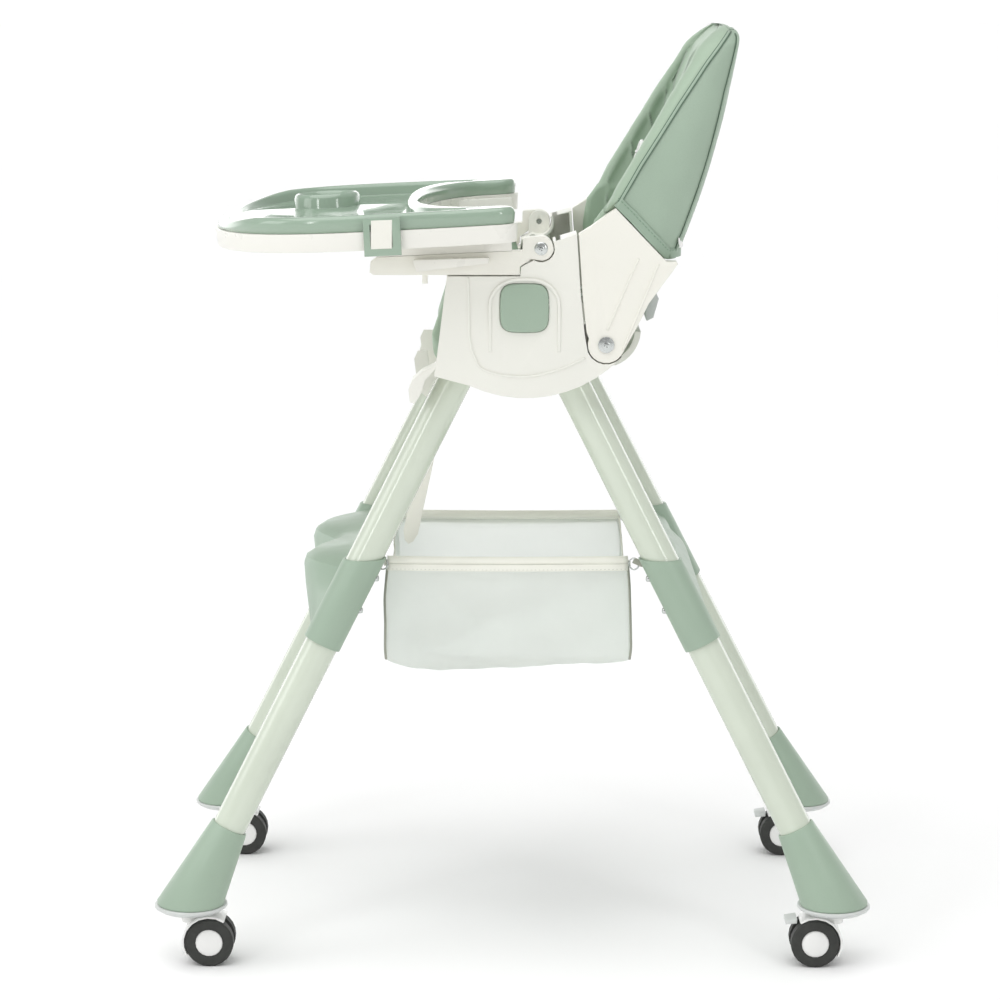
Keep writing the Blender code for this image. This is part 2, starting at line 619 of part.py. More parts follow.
def back_cover():
    """The padded slip cover: a bucket above, a pad between the cheeks below, a pocket for the shell."""
    pad = [pad_ring(z) for z in (0.7100, 0.7440, 0.7600, 0.7900, 0.8250, 0.8570, 0.8900, 0.9300,
                                 0.9700, 1.0050)]
    pad += [pad_ring(1.0280, 0.047), pad_ring(1.0400, 0.042)]
    skin = [cover_skin_ring(z, back_half_width(z))
            for z in (HEM_Z, 0.8280, 0.8570, 0.8600, 0.8900, 0.9200, 0.9500, 0.9800, 1.0050, 1.0250)]
    for z, width, depth in ((1.0300, 0.148, 0.050), (1.0400, 0.132, 0.046), (1.0460, 0.118, 0.038),
                            (1.0495, 0.100, 0.028)):
        skin.append(cover_skin_ring(z, width, depth))
    cover = union(loft(pad), loft(skin))
    levels = [0.7950] + [0.800 + 0.222 * i / 8 for i in range(9)] + [1.0230]
    pocket = loft([shell_ring(z, 0.0010) for z in levels])
    add_object("back_cover", cut(cover, pocket), "sage_leather", (0, *RECLINE_PIVOT))


def recline_handle():
    """The squeeze lever on the back of the shell that lifts the catch out of the quadrant."""
    y = back_rear_y(0.740) + 0.001
    outline = [(y - 0.0060, 0.7470), (y + 0.0060, 0.7470), (y + 0.0100, 0.7380), (y + 0.0040, 0.7160),
               (y - 0.0040, 0.7120), (y - 0.0060, 0.7190)]
    add_object("recline_handle", prism(outline, -0.0450, 0.0450), "grey_plastic", (0, y, 0.7450))


def pivot_screw(name, side, centre, radius, head_radius, head_x, tip_x):
    """A shouldered screw along X: domed head outside, shank through to the backing lobe."""
    profile = [(tip_x, radius), (head_x, radius), (head_x, head_radius),
               (head_x + 0.0014, head_radius), (head_x + 0.0024, head_radius * 0.6)]
    profile = [(side * x, r) for x, r in profile]
    add_object(name, lathe_x(profile, centre, 16), "steel", (side * head_x, *centre))


# ---------------------------------------------------------------- tray and arms
def tray_outline(offset=0.0, deck=0.0, points=14):
    """The (x, y) outline of the tray in its own frame, moved in by offset all round.

    A deck holds the outline back from the horns by that length, which leaves their tops flat.
    """
    half = []
    for i in range(points + 1):
        angle = -math.pi / 2 + math.pi / 2 * i / points
        c, s = abs(math.cos(angle)) ** (2 / 2.7), -abs(math.sin(angle)) ** (2 / 2.7)
        half.append(((TRAY_HALF_WIDTH - offset) * c, TRAY_MIDDLE_Y + (TRAY_FRONT_REACH - offset) * s))
    horn_x, horn_y = TRAY_BELLY_HALF + TRAY_HORN_RADIUS, 0.1020 - deck
    half.append((horn_x + TRAY_HORN_RADIUS + 0.008 - offset, horn_y - 0.050))
    half += arc((horn_x, horn_y), TRAY_HORN_RADIUS - offset, 0, 180, 8)
    for i in range(1, points + 1):
        angle = math.pi / 2 * i / points
        c, s = math.cos(angle) ** (2 / 2.3), math.sin(angle) ** (2 / 2.3)
        bite = TRAY_BELLY_DEPTH + offset - deck - 0.004
        half.append(((TRAY_BELLY_HALF + offset) * c, horn_y - 0.004 - bite * s))
    return half + [(-x, y) for x, y in reversed(half[1:-1])]


def tray_place(bm):
    """Move a bmesh from the tray's own level frame to its tilted place on the chair."""
    bm.transform(Matrix.Translation(TRAY_ORIGIN) @ Matrix.Rotation(TRAY_TILT, 4, "X"))
    return bm


def ring_at(outline, height):
    """Lift an (x, y) outline to a height that may depend on y."""
    return [(x, y, height(y) if callable(height) else height) for x, y in outline]


def rim_height(y):
    """The rim runs level round the sides and the belly, and droops to a low lip at the front."""
    return TRAY_RIM_HEIGHT - 0.0105 * smooth((-0.150 - y) / 0.070)


def tray_base():
    """The white lower tray: a skirted plate with two rails that run on the arms."""
    h, s = TRAY_BASE_HEIGHT, 0.0040
    body = loft([ring_at(tray_outline(0.0), 0.0), ring_at(tray_outline(0.0020), -h),
                 ring_at(tray_outline(0.0050), -h), ring_at(tray_outline(0.0050), -s)])
    rails = [block((side * ARM_X[0], side * ARM_X[1]), (-0.0300, 0.1180), (-TRAY_RAIL_DROP, -s + 0.001))
             for side in SIDES.values()]
    add_object("tray_base", tray_place(union(body, *rails)), "white_plastic", TRAY_ORIGIN)


def tray_insert():
    """The glossy green liner: dished floor, raised rim, cup ring and a clip tab on each side."""
    lift = FIT
    floor = lift + TRAY_FLOOR
    rim = [(0.0026, 0.0070, 0.0), (0.0036, 0.0028, 0.0), (0.0060, 0.0006, 0.0), (0.0085, 0.0, 0.0),
           (0.0120, 0.0002, TRAY_HORN_DECK), (0.0142, 0.0016, TRAY_HORN_DECK),
           (0.0158, 0.0050, TRAY_HORN_DECK)]
    rings = [ring_at(tray_outline(0.0040), lift)]
    for inset, drop, deck in rim:
        rings.append(ring_at(tray_outline(inset, deck), lambda y, drop=drop: rim_height(y) - drop))
    body = loft(rings + [ring_at(tray_outline(0.0172, TRAY_HORN_DECK), floor)])
    lip = [(0.0, -0.0020), (0.0006, 0.0110), (0.0024, 0.0148), (0.0050, 0.0165), (0.0076, 0.0148),
           (0.0092, 0.0110), (0.0098, -0.0020)]
    cup = lathe_z([(CUP_RADIUS - r, floor + z) for r, z in lip], CUP_CENTRE, 28, wrap=True)
    tabs, windows = [], []
    x0 = TRAY_HALF_WIDTH + 0.0006
    for side in SIDES.values():
        tabs.append(block((side * x0, side * (x0 + 0.0035)), (-0.0400, 0.0000), (-0.0260, 0.0150)))
        tabs.append(block((side * (x0 - 0.008), side * (x0 + 0.0035)), (-0.0400, 0.0000), (0.0100, 0.0150)))
        outboard = (side * (x0 - 0.0004), side * (x0 + 0.010))
        windows.append(block(outboard, (-0.0330, -0.0090), (-0.0170, 0.0080)))
    body = cut(union(body, cup, *tabs), *windows)
    add_object("tray_insert", tray_place(body), "sage_plastic", TRAY_ORIGIN)


def tray_trigger(name, side):
    """The squeeze trigger under the tray's edge that frees the tray to slide."""
    outline = [(-0.0260, 0.8012), (-0.0260, 0.7950), (-0.1050, 0.7855), (-0.1085, 0.7960),
               (-0.1085, 0.7985)]
    x0, x1 = side * 0.2110, side * 0.2230
    add_object(name, prism(outline, x0, x1), "white_plastic", ((x0 + x1) / 2, -0.0300, 0.7985))


def tray_arm(name, side):
    """The arm that carries the tray: a beam with a round lug on the pivot screw."""
    py, pz = ARM_PIVOT
    slope = math.tan(TRAY_TILT)
    under_rail = TRAY_ORIGIN.z - TRAY_RAIL_DROP / math.cos(TRAY_TILT) - FIT

    def top(y):
        return under_rail + (y - TRAY_ORIGIN.y) * slope

    beam = [(ARM_FRONT_Y, ARM_BOTTOM_Z + 0.003), (ARM_FRONT_Y + 0.004, ARM_BOTTOM_Z),
            (0.0060, ARM_BOTTOM_Z), (0.0080, ARM_BOTTOM_Z + 0.002), (0.0080, 0.7900), (0.0200, 0.7985)]
    beam += arc((py, pz), LUG_RADIUS, -85, 92, 12)
    beam += [(0.0130, pz + LUG_RADIUS - 0.0015), (0.0112, pz + LUG_RADIUS - 0.0035), (0.0108, top(0.0050)),
             (0.0040, top(0.0040)), (ARM_FRONT_Y + 0.008, top(ARM_FRONT_Y + 0.008)),
             (ARM_FRONT_Y + 0.001, top(ARM_FRONT_Y) - 0.005)]
    body = prism(beam, side * ARM_X[0], side * ARM_X[1])
    shank = [(0.0030, ARM_BOTTOM_Z - 0.0100), (0.0030, ARM_BOTTOM_Z + 0.004)]
    peg = lathe_z(shank, (side * 0.2000, -0.0965), 12)
    hole = disc_x(ARM_PIVOT, 0.0034, side * 0.185, side * 0.215, 12)
    add_object(name, cut(union(body, peg), hole), "cream_plastic", (side * 0.2, *ARM_PIVOT))


# ---------------------------------------------------------------- leg rest, basket, harness
def footrest():
    """The hanging leg rest: a padded plate with a hinge barrel and two pins."""
    top, foot = Vector(REST_HINGE), Vector(REST_FOOT)
    down = (foot - top).normalized()
    out = Vector((down.y, -down.x))
    half = REST_THICKNESS / 2
    outline = []
    for along, across in ((0.004, half), (0.004, -half), (0.180, -half), (0.190, -half * 0.6), (0.194, 0.0),
                          (0.190, half * 0.6), (0.180, half)):
        outline.append(tuple(top + down * along + out * across))
    plate = prism(outline, -REST_HALF_WIDTH, REST_HALF_WIDTH)
    barrel = disc_x(REST_HINGE, 0.0090, -REST_HALF_WIDTH, REST_HALF_WIDTH, 20)
    pins = [disc_x(REST_HINGE, 0.0032, side * 0.0950, side * 0.1078, 12) for side in SIDES.values()]
    add_object("footrest", union(plate, barrel, *pins), "cream_plastic", (0, *REST_HINGE))


def basket_ring(z, inset):
    """A rounded rectangle of the basket at height z, tapering a little towards the floor."""
    drop = (BASKET_RIM_Z - z) / (BASKET_RIM_Z - BASKET_FLOOR_Z)
    half_x = BASKET_HALF_WIDTH - 0.012 * drop - inset
    y0, y1 = BASKET_Y[0] + 0.020 * drop ** 2 + inset, BASKET_Y[1] - 0.030 * drop ** 2 - inset
    radius = 0.030 - inset * 0.5
    ring = []
    for cx, cy, start in ((half_x - radius, y1 - radius, 0), (-half_x + radius, y1 - radius, 90),
                          (-half_x + radius, y0 + radius, 180), (half_x - radius, y0 + radius, 270)):
        ring += [(x, y, z) for x, y in arc((cx, cy), radius, start, start + 90, 4)]
    return ring


def basket():
    """The open fabric basket between the legs."""
    outer = [basket_ring(z, 0.0) for z in (BASKET_FLOOR_Z, 0.320, 0.380, BASKET_RIM_Z)]
    inner = [basket_ring(z, BASKET_SKIN)
             for z in (BASKET_RIM_Z, 0.380, 0.322, BASKET_FLOOR_Z + BASKET_SKIN)]
    add_object("basket", loft(outer + inner), "pale_mesh_fabric", (0, 0, BASKET_RIM_Z))


def basket_rod(name, side):
    """The wire in the basket's side hem."""
    rings = []
    for y in (BASKET_Y[0] - 0.004, BASKET_Y[1] + 0.004):
        circle = arc((side * BASKET_HALF_WIDTH, ROD_Z), ROD_RADIUS, 0, 330, 11)
        rings.append([(x, y, z) for x, z in circle])
    add_object(name, loft(rings), "steel", (side * BASKET_HALF_WIDTH, 0, ROD_Z))


def harness_buckle():
    """The crotch buckle of the harness, resting on the seat pad."""
    rings = []
    for z, inset in ((0.7026, 0.002), (0.7040, 0.0), (0.7140, 0.0), (0.7165, 0.003)):
        outline = squircle((0.0, -0.0200), 0.024 - inset, 20, 3.0)
        rings.append([(x, y, z) for x, y in outline])
    add_object("harness_buckle", loft(rings), "grey_plastic", (0, -0.02, 0.7026))


# ---------------------------------------------------------------- assembly
def build():
    clear_scene()
    for end_name, end in ENDS.items():
        for side_name, side in SIDES.items():
            corner = f"{end_name}_{side_name}"
            leg_tube(f"leg_upper_{corner}", side, end, LEG_JOIN_Z, LEG_TOP_Z)
            leg_tube(f"leg_lower_{corner}", side, end, LEG_END_Z, LEG_JOIN_Z - 0.001)
            foot_cone(f"foot_cone_{corner}", side, end)
            foot_rim(f"foot_rim_{corner}", side, end)
            caster(corner, side, end, braked=end > 0)
        cross_panel(f"cross_panel_{end_name}", end)
    for side_name, side in SIDES.items():
        side_housing(f"side_housing_{side_name}", side)
        side_button(f"side_button_{side_name}", side)
        tray_arm(f"tray_arm_{side_name}", side)
        tray_trigger(f"tray_trigger_{side_name}", side)
        pivot_screw(f"arm_screw_{side_name}", side, ARM_PIVOT, 0.0030, 0.0062, ARM_X[1] + FIT, 0.1800)
        pivot_screw(f"recline_screw_{side_name}", side, RECLINE_PIVOT, 0.0040, 0.0090,
                    CHEEK_X[1] + FIT, 0.1800)
        basket_rod(f"basket_rod_{side_name}", side)
    seat_pan()
    seat_cushion()
    backrest_shell()
    back_cover()
    recline_handle()
    tray_base()
    tray_insert()
    footrest()
    basket()
    harness_buckle()


build()
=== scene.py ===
"""Looks for a sage-green baby high chair on casters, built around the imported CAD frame.

Sizes are in metres in the frame's own axes: +Z up, the child faces -Y, +X is the child's left.
The moulded parts keep their CAD shapes and get materials and fine edges. The upholstery, the fabric
basket, the harness webbing and the small fittings are modelled here.
"""
import math

import bmesh
import bpy
from mathutils import Matrix, Vector, noise


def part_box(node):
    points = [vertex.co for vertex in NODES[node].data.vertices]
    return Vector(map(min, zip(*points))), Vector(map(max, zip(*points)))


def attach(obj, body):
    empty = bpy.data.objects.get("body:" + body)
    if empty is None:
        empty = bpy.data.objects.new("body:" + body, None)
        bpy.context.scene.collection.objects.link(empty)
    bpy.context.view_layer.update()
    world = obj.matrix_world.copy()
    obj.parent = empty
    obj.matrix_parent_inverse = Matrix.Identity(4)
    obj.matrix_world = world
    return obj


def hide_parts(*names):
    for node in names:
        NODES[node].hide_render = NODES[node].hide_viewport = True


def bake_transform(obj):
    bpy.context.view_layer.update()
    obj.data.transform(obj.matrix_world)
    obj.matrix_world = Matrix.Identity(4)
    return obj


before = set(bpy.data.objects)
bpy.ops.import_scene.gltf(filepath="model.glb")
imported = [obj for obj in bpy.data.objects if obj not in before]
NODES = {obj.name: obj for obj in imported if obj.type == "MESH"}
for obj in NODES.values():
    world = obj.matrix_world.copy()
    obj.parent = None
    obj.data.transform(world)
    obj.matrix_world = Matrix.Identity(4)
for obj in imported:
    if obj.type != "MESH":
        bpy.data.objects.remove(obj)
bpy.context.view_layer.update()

SIDES = {"left": 1, "right": -1}
ENDS = {"front": -1, "rear": 1}

# ---------------------------------------------------------------- driving sizes
CAMERA_AT = Vector((3.5089, 0.0078, 1.0945))
CAMERA_DOWN = math.radians(9.7)
CAMERA_TURN = math.radians(0.375)
LENS = 108.4

LEG_FOOT = Vector((0.2225, 0.3640, 0.0690))     # leg axis at the foot, left rear leg
LEG_HUB = Vector((0.1650, 0.0680, 0.6530))      # leg axis at the side housing
SLEEVE_RADIUS = 0.0218

HEM_PEAK = (0.1143, 0.8570)                     # (y, z) where the cover's hem meets the roll on the cheek
HEM_LOW = (0.1705, 0.7970)                      # where it turns to the rear
HEM_REAR_Z = 0.7995
HEM_REAR_Y = 0.1790
SKIN_TOP_Z = 1.0455                             # where the outer skin and the side piping end
COVER_CORNER = 0.045
COVER_SKIN = 0.0030
TOP_PIPING = (0.1190, 0.2425, 1.0462)           # half width, y at its ends and z of the piping over the top
PIPING_RADIUS = 0.0017
BINDING_WIDTH, BINDING_THICKNESS = 0.0120, 0.0018
WING = 0.0330                                   # thickness of a wing's roll across the chair
PAD = 0.0500                                    # depth of the padding in front of the cover's rear
POCKET = 0.0185                                 # from the cover's rear to the padding, with the shell between
POCKET_SIDE = 0.0205                            # the same at the sides
PAD_LOW_Z, PAD_TOP_Z = 0.7100, 1.0508
QUILT_PITCH = 0.0790

BASKET_X = 0.1530
BASKET_Y = (-0.1420, 0.1310)
BASKET_RIM_Z = 0.4485
BASKET_DEPTH = 0.1120
BASKET_SIDE, BASKET_ROWS = 38, 16               # mesh steps along one side and down it
BASKET_RIM = 4 * BASKET_SIDE

STRAP_WIDTH, STRAP_THICKNESS = 0.0250, 0.0016
CHEEK_FACE_X = 0.2090


# ---------------------------------------------------------------- materials
def tone(r, g, b, lift=0.0):
    """Linear colour from 8-bit sRGB numbers."""
    channels = []
    for value in (r, g, b):
        c = value / 255
        c = c / 12.92 if c <= 0.04045 else ((c + 0.055) / 1.055) ** 2.4
        channels.append(max(0.0, c + lift))
    return (*channels, 1.0)


def shade(colour, factor):
    return tuple(min(1.0, c * factor) for c in colour[:3]) + (1.0,)


MATERIALS = {}


class Finish:
    """A Principled material under construction, with helpers that add and link nodes."""

    def __init__(self, name, **sockets):
        MATERIALS[name] = self.material = bpy.data.materials.new(name)
        self.material.use_nodes = True
        self.tree = self.material.node_tree
        self.shader = self.tree.nodes["Principled BSDF"]
        self.place = self.add("ShaderNodeTexCoord").outputs["Object"]
        for socket, value in sockets.items():
            self.shader.inputs[socket.replace("_", " ")].default_value = value

    def add(self, kind, inputs=None, **settings):
        node = self.tree.nodes.new(kind)
        for key, value in settings.items():
            setattr(node, key, value)
        for key, value in (inputs or {}).items():
            if isinstance(value, bpy.types.NodeSocket):
                self.tree.links.new(value, node.inputs[key])
            else:
                node.inputs[key].default_value = value
        return node

    def noise(self, scale, detail=2.0, place=None):
        inputs = {"Vector": place or self.place, "Scale": scale, "Detail": detail}
        return self.add("ShaderNodeTexNoise", inputs).outputs["Fac"]

    def stretched(self, x, y, z):
        """Object coordinates scaled per axis."""
        node = self.add("ShaderNodeMapping", {"Vector": self.place, "Scale": (x, y, z)})
        return node.outputs["Vector"]

    def ranged(self, value, low, high, start=0.3, stop=0.7):
        node = self.add("ShaderNodeMapRange", {"Value": value, "From Min": start, "From Max": stop,
                                               "To Min": low, "To Max": high})
        return node.outputs["Result"]

    def mix(self, factor, a, b):
        """Blend two colours; 0, 6, 7 and output 2 are the colour mode's own sockets."""
        return self.add("ShaderNodeMix", {0: factor, 6: a, 7: b}, data_type="RGBA").outputs[2]

    def colour(self, socket):
        self.tree.links.new(socket, self.shader.inputs["Base Color"])

    def roughness(self, middle, spread, scale=45):
        self.tree.links.new(self.ranged(self.noise(scale, 4), middle - spread, middle + spread),
                            self.shader.inputs["Roughness"])

    def relief(self, layers, bevel=0.0):
        """Stack bump layers, each (height socket, strength, distance), on a softened edge normal."""
        base = {}
        if bevel:
            base["Normal"] = self.add("ShaderNodeBevel", {"Radius": bevel}, samples=4).outputs["Normal"]
        for height, strength, distance in layers:
            inputs = {"Height": height, "Strength": strength, "Distance": distance, **base}
            base["Normal"] = self.add("ShaderNodeBump", inputs).outputs["Normal"]
        self.tree.links.new(base["Normal"], self.shader.inputs["Normal"])


def moulded(name, colour, rough=0.36, grain=0.10, tint=0.03, bevel=0.0008, **sockets):
    """Injection-moulded plastic: slight flow clouding, spark-eroded grain and rounded edges."""
    f = Finish(name, **sockets)
    cloud = f.ranged(f.noise(9, 3), 0, 1)
    body = f.mix(cloud, shade(colour, 1 - tint), shade(colour, 1 + tint))
    speck = f.ranged(f.noise(420, 1), 0, 0.5, 0.62, 0.75)
    f.colour(f.mix(speck, body, shade(colour, 1 - 2 * tint)))
    f.roughness(rough, 0.05)
    f.relief([(f.noise(60, 2), 0.04, 0.0010), (f.noise(1500, 1), grain, 0.00012)], bevel)


def enamel(name, colour, **sockets):
    """Glossy powder coat: orange peel under a clear gloss."""
    f = Finish(name, **sockets)
    f.colour(f.mix(f.ranged(f.noise(14, 3), 0, 1), shade(colour, 0.97), shade(colour, 1.03)))
    f.roughness(0.17, 0.03, 30)
    f.relief([(f.noise(330, 2), 0.05, 0.0002)])


def leatherette(name, colour, rough=0.46, seam=True):
    """Coated synthetic leather: pebble grain, worn highlights, and painted shade with thread colour down the
    sewn channels.
    """
    f = Finish(name, Sheen_Weight=0.12, Sheen_Roughness=0.4, Specular_IOR_Level=0.42)
    cells = f.add("ShaderNodeTexVoronoi", {"Vector": f.place, "Scale": 620}, feature="DISTANCE_TO_EDGE")
    edge = f.ranged(cells.outputs["Distance"], 0, 1, 0.0, 0.22)
    cloud = f.ranged(f.noise(11, 4), 0, 1)
    body = f.mix(cloud, shade(colour, 0.955), shade(colour, 1.04))
    body = f.mix(f.ranged(edge, 0.22, 0.0, 0.0, 1.0), body, shade(colour, 0.80))
    if seam:
        # painted shade: the stored seam weight darkens the sewn channels, standing for the thread colour and
        # the shade that falls in the grooves
        seam_shade = f.add("ShaderNodeAttribute", attribute_name="seam").outputs["Fac"]
        body = f.mix(seam_shade, body, shade(colour, 0.48))
    f.colour(body)
    f.roughness(rough, 0.06, 60)
    f.relief([(f.noise(42, 3), 0.10, 0.0015), (edge, 0.28, 0.00022), (f.noise(1300, 1), 0.10, 0.0001)])


def woven(name, colour, thread, contrast=0.10, rough=0.75, **sockets):
    """Plain weave from crossed bands of thread, running round the piece and up it."""
    f = Finish(name, Sheen_Weight=0.25, Sheen_Roughness=0.5, **sockets)
    heights = []
    for vector in (f.stretched(1, 1, 0.02), f.stretched(0.02, 0.02, 1)):
        wave = f.add("ShaderNodeTexWave", {"Vector": vector, "Scale": 0.628 / thread, "Distortion": 0.6,
                                           "Detail": 1.0}, bands_direction="DIAGONAL")
        heights.append(wave.outputs["Fac"])
    cross = f.add("ShaderNodeMath", {0: heights[0], 1: heights[1]}, operation="MULTIPLY").outputs[0]
    body = f.mix(f.ranged(f.noise(16, 4), 0, 1), shade(colour, 0.97), shade(colour, 1.02))
    f.colour(f.mix(f.ranged(cross, 0, contrast, 0, 1), body, shade(colour, 0.70)))
    f.roughness(rough, 0.05)
    f.relief([(f.noise(38, 3), 0.12, 0.0015), (cross, 0.25, 0.0002)])


def sheer(name, colour, thread, through):
    """A woven fabric thin enough to pass part of the light to its other side."""
    woven(name, colour, thread, 0.10, 0.62)
    tree = MATERIALS[name].node_tree
    shader, output = tree.nodes["Principled BSDF"], tree.nodes["Material Output"]
    glow = tree.nodes.new("ShaderNodeBsdfTranslucent")
    tree.links.new(shader.inputs["Base Color"].links[0].from_socket, glow.inputs["Color"])
    blend = tree.nodes.new("ShaderNodeMixShader")
    blend.inputs[0].default_value = through
    tree.links.new(shader.outputs[0], blend.inputs[1])
    tree.links.new(glow.outputs[0], blend.inputs[2])
    tree.links.new(blend.outputs[0], output.inputs["Surface"])


def rubber(name, colour):
    f = Finish(name, Specular_IOR_Level=0.35)
    dust = f.ranged(f.noise(140, 5), 0, 0.35)
    f.colour(f.mix(dust, colour, shade(colour, 1.7)))
    f.roughness(0.62, 0.08, 90)
    f.relief([(f.noise(900, 2), 0.20, 0.0002)], 0.0006)


def metal(name, colour, rough=0.24):
    """Zinc-plated steel with fine turning marks."""
    f = Finish(name, Metallic=1.0)
    f.colour(f.mix(f.ranged(f.noise(55, 3), 0, 1), shade(colour, 0.86), colour))
    f.roughness(rough, 0.08, 200)
    f.relief([(f.noise(6, 2, f.stretched(30, 240, 240)), 0.08, 0.0002)], 0.0004)


SAGE = tone(163, 182, 164, -0.022)
IVORY = tone(238, 238, 230, -0.030)
moulded("sage_plastic", SAGE, 0.40, 0.16)
moulded("sage_gloss", tone(158, 178, 160, -0.022), 0.12, 0.0, 0.02, 0.0012, Coat_Weight=0.6,
        Coat_Roughness=0.04)
moulded("cream_plastic", IVORY, 0.38, 0.12, 0.012)
moulded("cheek_plastic", tone(241, 240, 231, -0.030), 0.40, 0.12, 0.012)
moulded("white_plastic", tone(240, 239, 232, -0.030), 0.30, 0.05, 0.010)
moulded("hood_white", tone(244, 244, 242, -0.030), 0.22, 0.02, 0.008)
moulded("rim_grey", tone(212, 215, 213, -0.030), 0.35, 0.08, 0.015)
enamel("leg_enamel", tone(214, 222, 207, -0.045), Coat_Weight=0.5, Coat_Roughness=0.05)
rubber("tyre_rubber", tone(62, 63, 61, -0.012))
leatherette("sage_leather", tone(165, 184, 166, -0.022))
leatherette("pad_leather", tone(170, 190, 169, -0.022))
leatherette("binding", tone(156, 176, 158, -0.022), 0.5, False)
# painted shade: dark strips laid beside the piping and along the rear seams, where shadows fall
leatherette("crease", tone(92, 116, 98, -0.015), 0.6, False)
woven("stitch", tone(128, 156, 132, -0.02), 0.0008)
sheer("mesh_fabric", tone(250, 253, 250, -0.006), 0.0009, 0.60)
woven("hem_fabric", tone(243, 243, 233, -0.020), 0.0009, 0.10, 0.66)
woven("seam_tape", tone(166, 168, 156, -0.02), 0.0011, 0.3)
woven("webbing", tone(150, 160, 150, -0.02), 0.0012, 0.5)
metal("steel", tone(206, 210, 208))
# painted shade: the dark colour of the screws' cross recesses
moulded("dark_recess", tone(70, 74, 72), 0.6)
moulded("grey_plastic", tone(196, 200, 198, -0.02), 0.42, 0.14)
woven("label", tone(246, 246, 244, -0.02), 0.0005, 0.05)
enamel("rod_enamel", tone(240, 240, 232, -0.045))


# ---------------------------------------------------------------- mesh helpers
def smoothstep(t):
    t = min(max(t, 0.0), 1.0)
    return t * t * (3 - 2 * t)


def along(points, value):
    """Straight-line interpolation through (key, value) pairs."""
    if value <= points[0][0]:
        return points[0][1]
    for a, b in zip(points, points[1:]):
        if value <= b[0]:
            return a[1] + (b[1] - a[1]) * (value - a[0]) / (b[0] - a[0])
    return points[-1][1]


def spread(start, stop, count):
    """Numbers spread evenly from start to stop."""
    return [start + (stop - start) * i / (count - 1) for i in range(count)]


def turns(count):
    """Angles spread evenly round a full turn, in radians."""
    return [2 * math.pi * i / count for i in range(count)]


def mirrored(p):
    return Vector((-p.x, p.y, p.z))


def arc(x, y, z, radius, start, stop, steps):
    """Level points on a circle's arc, its ends included; start and stop are in quarter turns."""
    angles = [math.pi / 2 * q for q in spread(start, stop, steps + 1)]
    return [Vector((x + radius * math.cos(a), y + radius * math.sin(a), z)) for a in angles]


def resample(points, count):
    """Points spread evenly along a polyline of vectors."""
    points = [Vector(p) for p in points]
    total = [0.0]
    for a, b in zip(points, points[1:]):
        total.append(total[-1] + (b - a).length)
    out, k = [], 0
    for i in range(count):
        at = total[-1] * i / (count - 1)
        while k < len(points) - 2 and total[k + 1] < at:
            k += 1
        span = total[k + 1] - total[k] or 1.0
        out.append(points[k].lerp(points[k + 1], (at - total[k]) / span))
    return out


def curve_through(points, count):
    """A Catmull-Rom curve through the points, evenly resampled."""
    points = [Vector(p) for p in points]
    ends = [points[0] * 2 - points[1]] + points + [points[-1] * 2 - points[-2]]
    fine = []
    for a, b, c, d in zip(ends, ends[1:], ends[2:], ends[3:]):
        for i in range(12):
            t = i / 12
            fine.append(0.5 * ((2 * b) + (c - a) * t + (2 * a - 5 * b + 4 * c - d) * t * t
                               + (3 * b - a - 3 * c + d) * t ** 3))
    return resample(fine + [points[-1]], count)


def linked(name, data):
    """A new object in the scene."""
    obj = bpy.data.objects.new(name, data)
    bpy.context.scene.collection.objects.link(obj)
    return obj


def shade_smooth(mesh, smooth=True):
    mesh.polygons.foreach_set("use_smooth", [smooth] * len(mesh.polygons))


def mesh_object(name, verts, faces, look, flat=False):
    mesh = bpy.data.meshes.new(name)
    mesh.from_pydata([tuple(v) for v in verts], [], faces)
    mesh.validate()
    shade_smooth(mesh, not flat)
    mesh.materials.append(MATERIALS[look])
    return linked(name, mesh)


def bmesh_object(name, bm, look):
    """A smooth object from a bmesh, its faces turned outwards."""
    bmesh.ops.recalc_face_normals(bm, faces=bm.faces)
    obj = mesh_object(name, [], [], look)
    bm.to_mesh(obj.data)
    bm.free()
    shade_smooth(obj.data)
    return obj


def loft(rings):
    """Vertices and faces of a closed body through rings of equal length."""
    verts = [v for ring in rings for v in ring]
    n = len(rings[0])
    faces = []
    for r in range(len(rings) - 1):
        for i in range(n):
            j = (i + 1) % n
            faces.append((r * n + i, r * n + j, (r + 1) * n + j, (r + 1) * n + i))
    faces.append(tuple(reversed(range(n))))
    faces.append(tuple(range((len(rings) - 1) * n, len(rings) * n)))
    return verts, faces


def outward(obj):
    """Turn every face outwards."""
    bm = bmesh.new()
    bm.from_mesh(obj.data)
    bmesh.ops.recalc_face_normals(bm, faces=bm.faces)
    bm.to_mesh(obj.data)
    bm.free()
    return obj


def ahead_at(points, i):
    """Direction along a polyline at one of its points, not normalized."""
    return points[min(i + 1, len(points) - 1)] - points[max(i - 1, 0)]


def sweep(name, path, section, look):
    """Sweep a section of (across, out) pairs along a path of (point, normal) pairs."""
    centres = [Vector(p) for p, _ in path]
    rings = []
    for i, (centre, (_, normal)) in enumerate(zip(centres, path)):
        forward = ahead_at(centres, i).normalized()
        across = forward.cross(Vector(normal)).normalized()
        up = across.cross(forward).normalized()
        rings.append([centre + across * a + up * b for a, b in section])
    return outward(mesh_object(name, *loft(rings), look))


def circle(radius, sides=10):
    return [(radius * math.cos(a), radius * math.sin(a)) for a in turns(sides)]


def tube(name, points, radius, look, normal, sides):
    """A round bar through the points, turned with the least twist."""
    points = [Vector(p) for p in points]
    path, up = [], Vector(normal)
    for i, p in enumerate(points):
        ahead = ahead_at(points, i)
        up = (up - ahead * (up.dot(ahead) / ahead.length_squared)).normalized()
        path.append((p, up.copy()))
    return sweep(name, path, circle(radius, sides), look)


